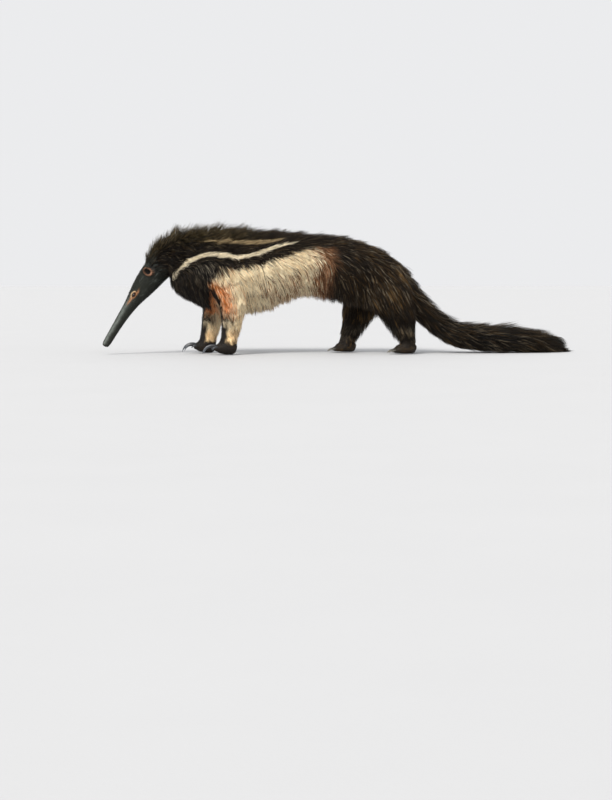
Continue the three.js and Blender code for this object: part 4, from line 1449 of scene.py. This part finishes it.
def finish_skin():
    mesh, fields = skin.data, surface.fields
    luck = np.full(len(surface.points), 0.5)
    colour = body_colour(surface.points, fields["number"], fields["u"], fields["angle"], luck, luck)
    # Painted shade: the skin is made darker where long hair lies over it.
    shaded_by_coat = soft(fields["length"], 12, 40)[:, None]
    write(mesh.vertices, "co", to_scene(surface.points))
    shade_smooth(mesh)
    mesh.update()
    set_attribute(mesh, "tint", "FLOAT_COLOR", colour * (1 - 0.45 * shaded_by_coat))
    set_attribute(mesh, "pelt", "FLOAT_VECTOR", pelt_places(fields))
    mesh.materials.append(skin_material())


finish_skin()
pieces.append(skin)

eyes = [build_eye("eyeball_left", -1), build_eye("eyeball_right", 1)]
for eye, side in zip(eyes, ("left", "right")):
    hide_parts("eye_" + side)
pieces += eyes

dark_horn = claw_material("dark_horn", "15161a", "5a5f66")
pale_horn = claw_material("pale_horn", "2b2924", "827c6d")
for leg in LEGS:
    claws = build_claws(leg, dark_horn if leg["fore"] else pale_horn)
    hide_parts(*[digit["name"] for digit in leg["digits"]])
    pieces.append(claws)

SPINE_NODES = ["neck", "torso_front", "torso_rear", "tail_base", "tail_middle", "tail_end"]
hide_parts("head", "ear_left", "ear_right", *SPINE_NODES, *[leg["name"] for leg in LEGS])
for piece in pieces:
    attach(piece, "root")


# Floor, lights and camera
FLOOR_DARK, FLOOR_LIGHT = (0.462, 0.468, 0.479), (0.484, 0.490, 0.501)
FLOOR_REACH = 40  # metres to each side
CAMERA_TURN, CAMERA_RISE = math.radians(-6), math.radians(4)
CAMERA_DISTANCE = 7.0
SENSOR_WIDTH = 36
FRAME_MIDDLE = np.array([23.0, 0.0, -181.0])
FRAME_HEIGHT = 3.12  # metres that the picture's height spans at the animal


def build_floor():
    nodes = Nodes("floor")
    place = nodes.add("ShaderNodeTexCoord", "Object")
    shade = nodes.ramp(nodes.noise(place, 3.0, 4.0), (0, FLOOR_DARK), (1, FLOOR_LIGHT))
    nodes.bump(nodes.noise(place, 160.0, 2.0), 0.0004, 0.3)
    corners = np.array([[-1, -1, 0], [1, -1, 0], [1, 1, 0], [-1, 1, 0]], float) * FLOOR_REACH
    floor = mesh_object("floor", corners, [[0, 1, 2, 3]])
    floor.data.materials.append(nodes.set(Base_Color=shade, Roughness=0.75))


def add_sun(name, heading, rise, spread, strength, tint):
    """A broad soft light from far off, at a heading from +X towards +Y and a rise above the floor."""
    lamp = bpy.data.lights.new(name, "SUN")
    lamp.angle = math.radians(spread)
    lamp.energy = strength
    lamp.color = tint
    level = math.cos(math.radians(rise))
    turn = math.radians(heading)
    away = Vector((math.cos(turn) * level, math.sin(turn) * level, math.sin(math.radians(rise))))
    link(name, lamp).rotation_euler = away.to_track_quat("Z", "Y").to_euler()


def set_world():
    world = bpy.data.worlds.new("studio")
    world.use_nodes = True
    background = world.node_tree.nodes["Background"]
    background.inputs["Color"].default_value = (0.98, 0.985, 1, 1)
    background.inputs["Strength"].default_value = 0.85
    bpy.context.scene.world = world


def build_camera():
    lens = bpy.data.cameras.new("camera")
    lens.sensor_width = SENSOR_WIDTH
    lens.sensor_fit = "AUTO"
    lens.lens = SENSOR_WIDTH * CAMERA_DISTANCE / FRAME_HEIGHT
    camera = link("camera", lens)
    level = math.cos(CAMERA_RISE)
    away = Vector((math.sin(CAMERA_TURN) * level, -math.cos(CAMERA_TURN) * level, math.sin(CAMERA_RISE)))
    camera.location = Vector(to_scene(FRAME_MIDDLE)) + away * CAMERA_DISTANCE
    camera.rotation_euler = (-away).to_track_quat("-Z", "Y").to_euler()
    bpy.context.scene.camera = camera


build_floor()
add_sun("key", heading=238, rise=44, spread=22, strength=3.7, tint=(1.0, 0.965, 0.91))
add_sun("fill", heading=320, rise=28, spread=60, strength=0.5, tint=(0.98, 0.985, 1.0))
set_world()
build_camera()
bpy.context.scene.view_settings.view_transform = "Standard"
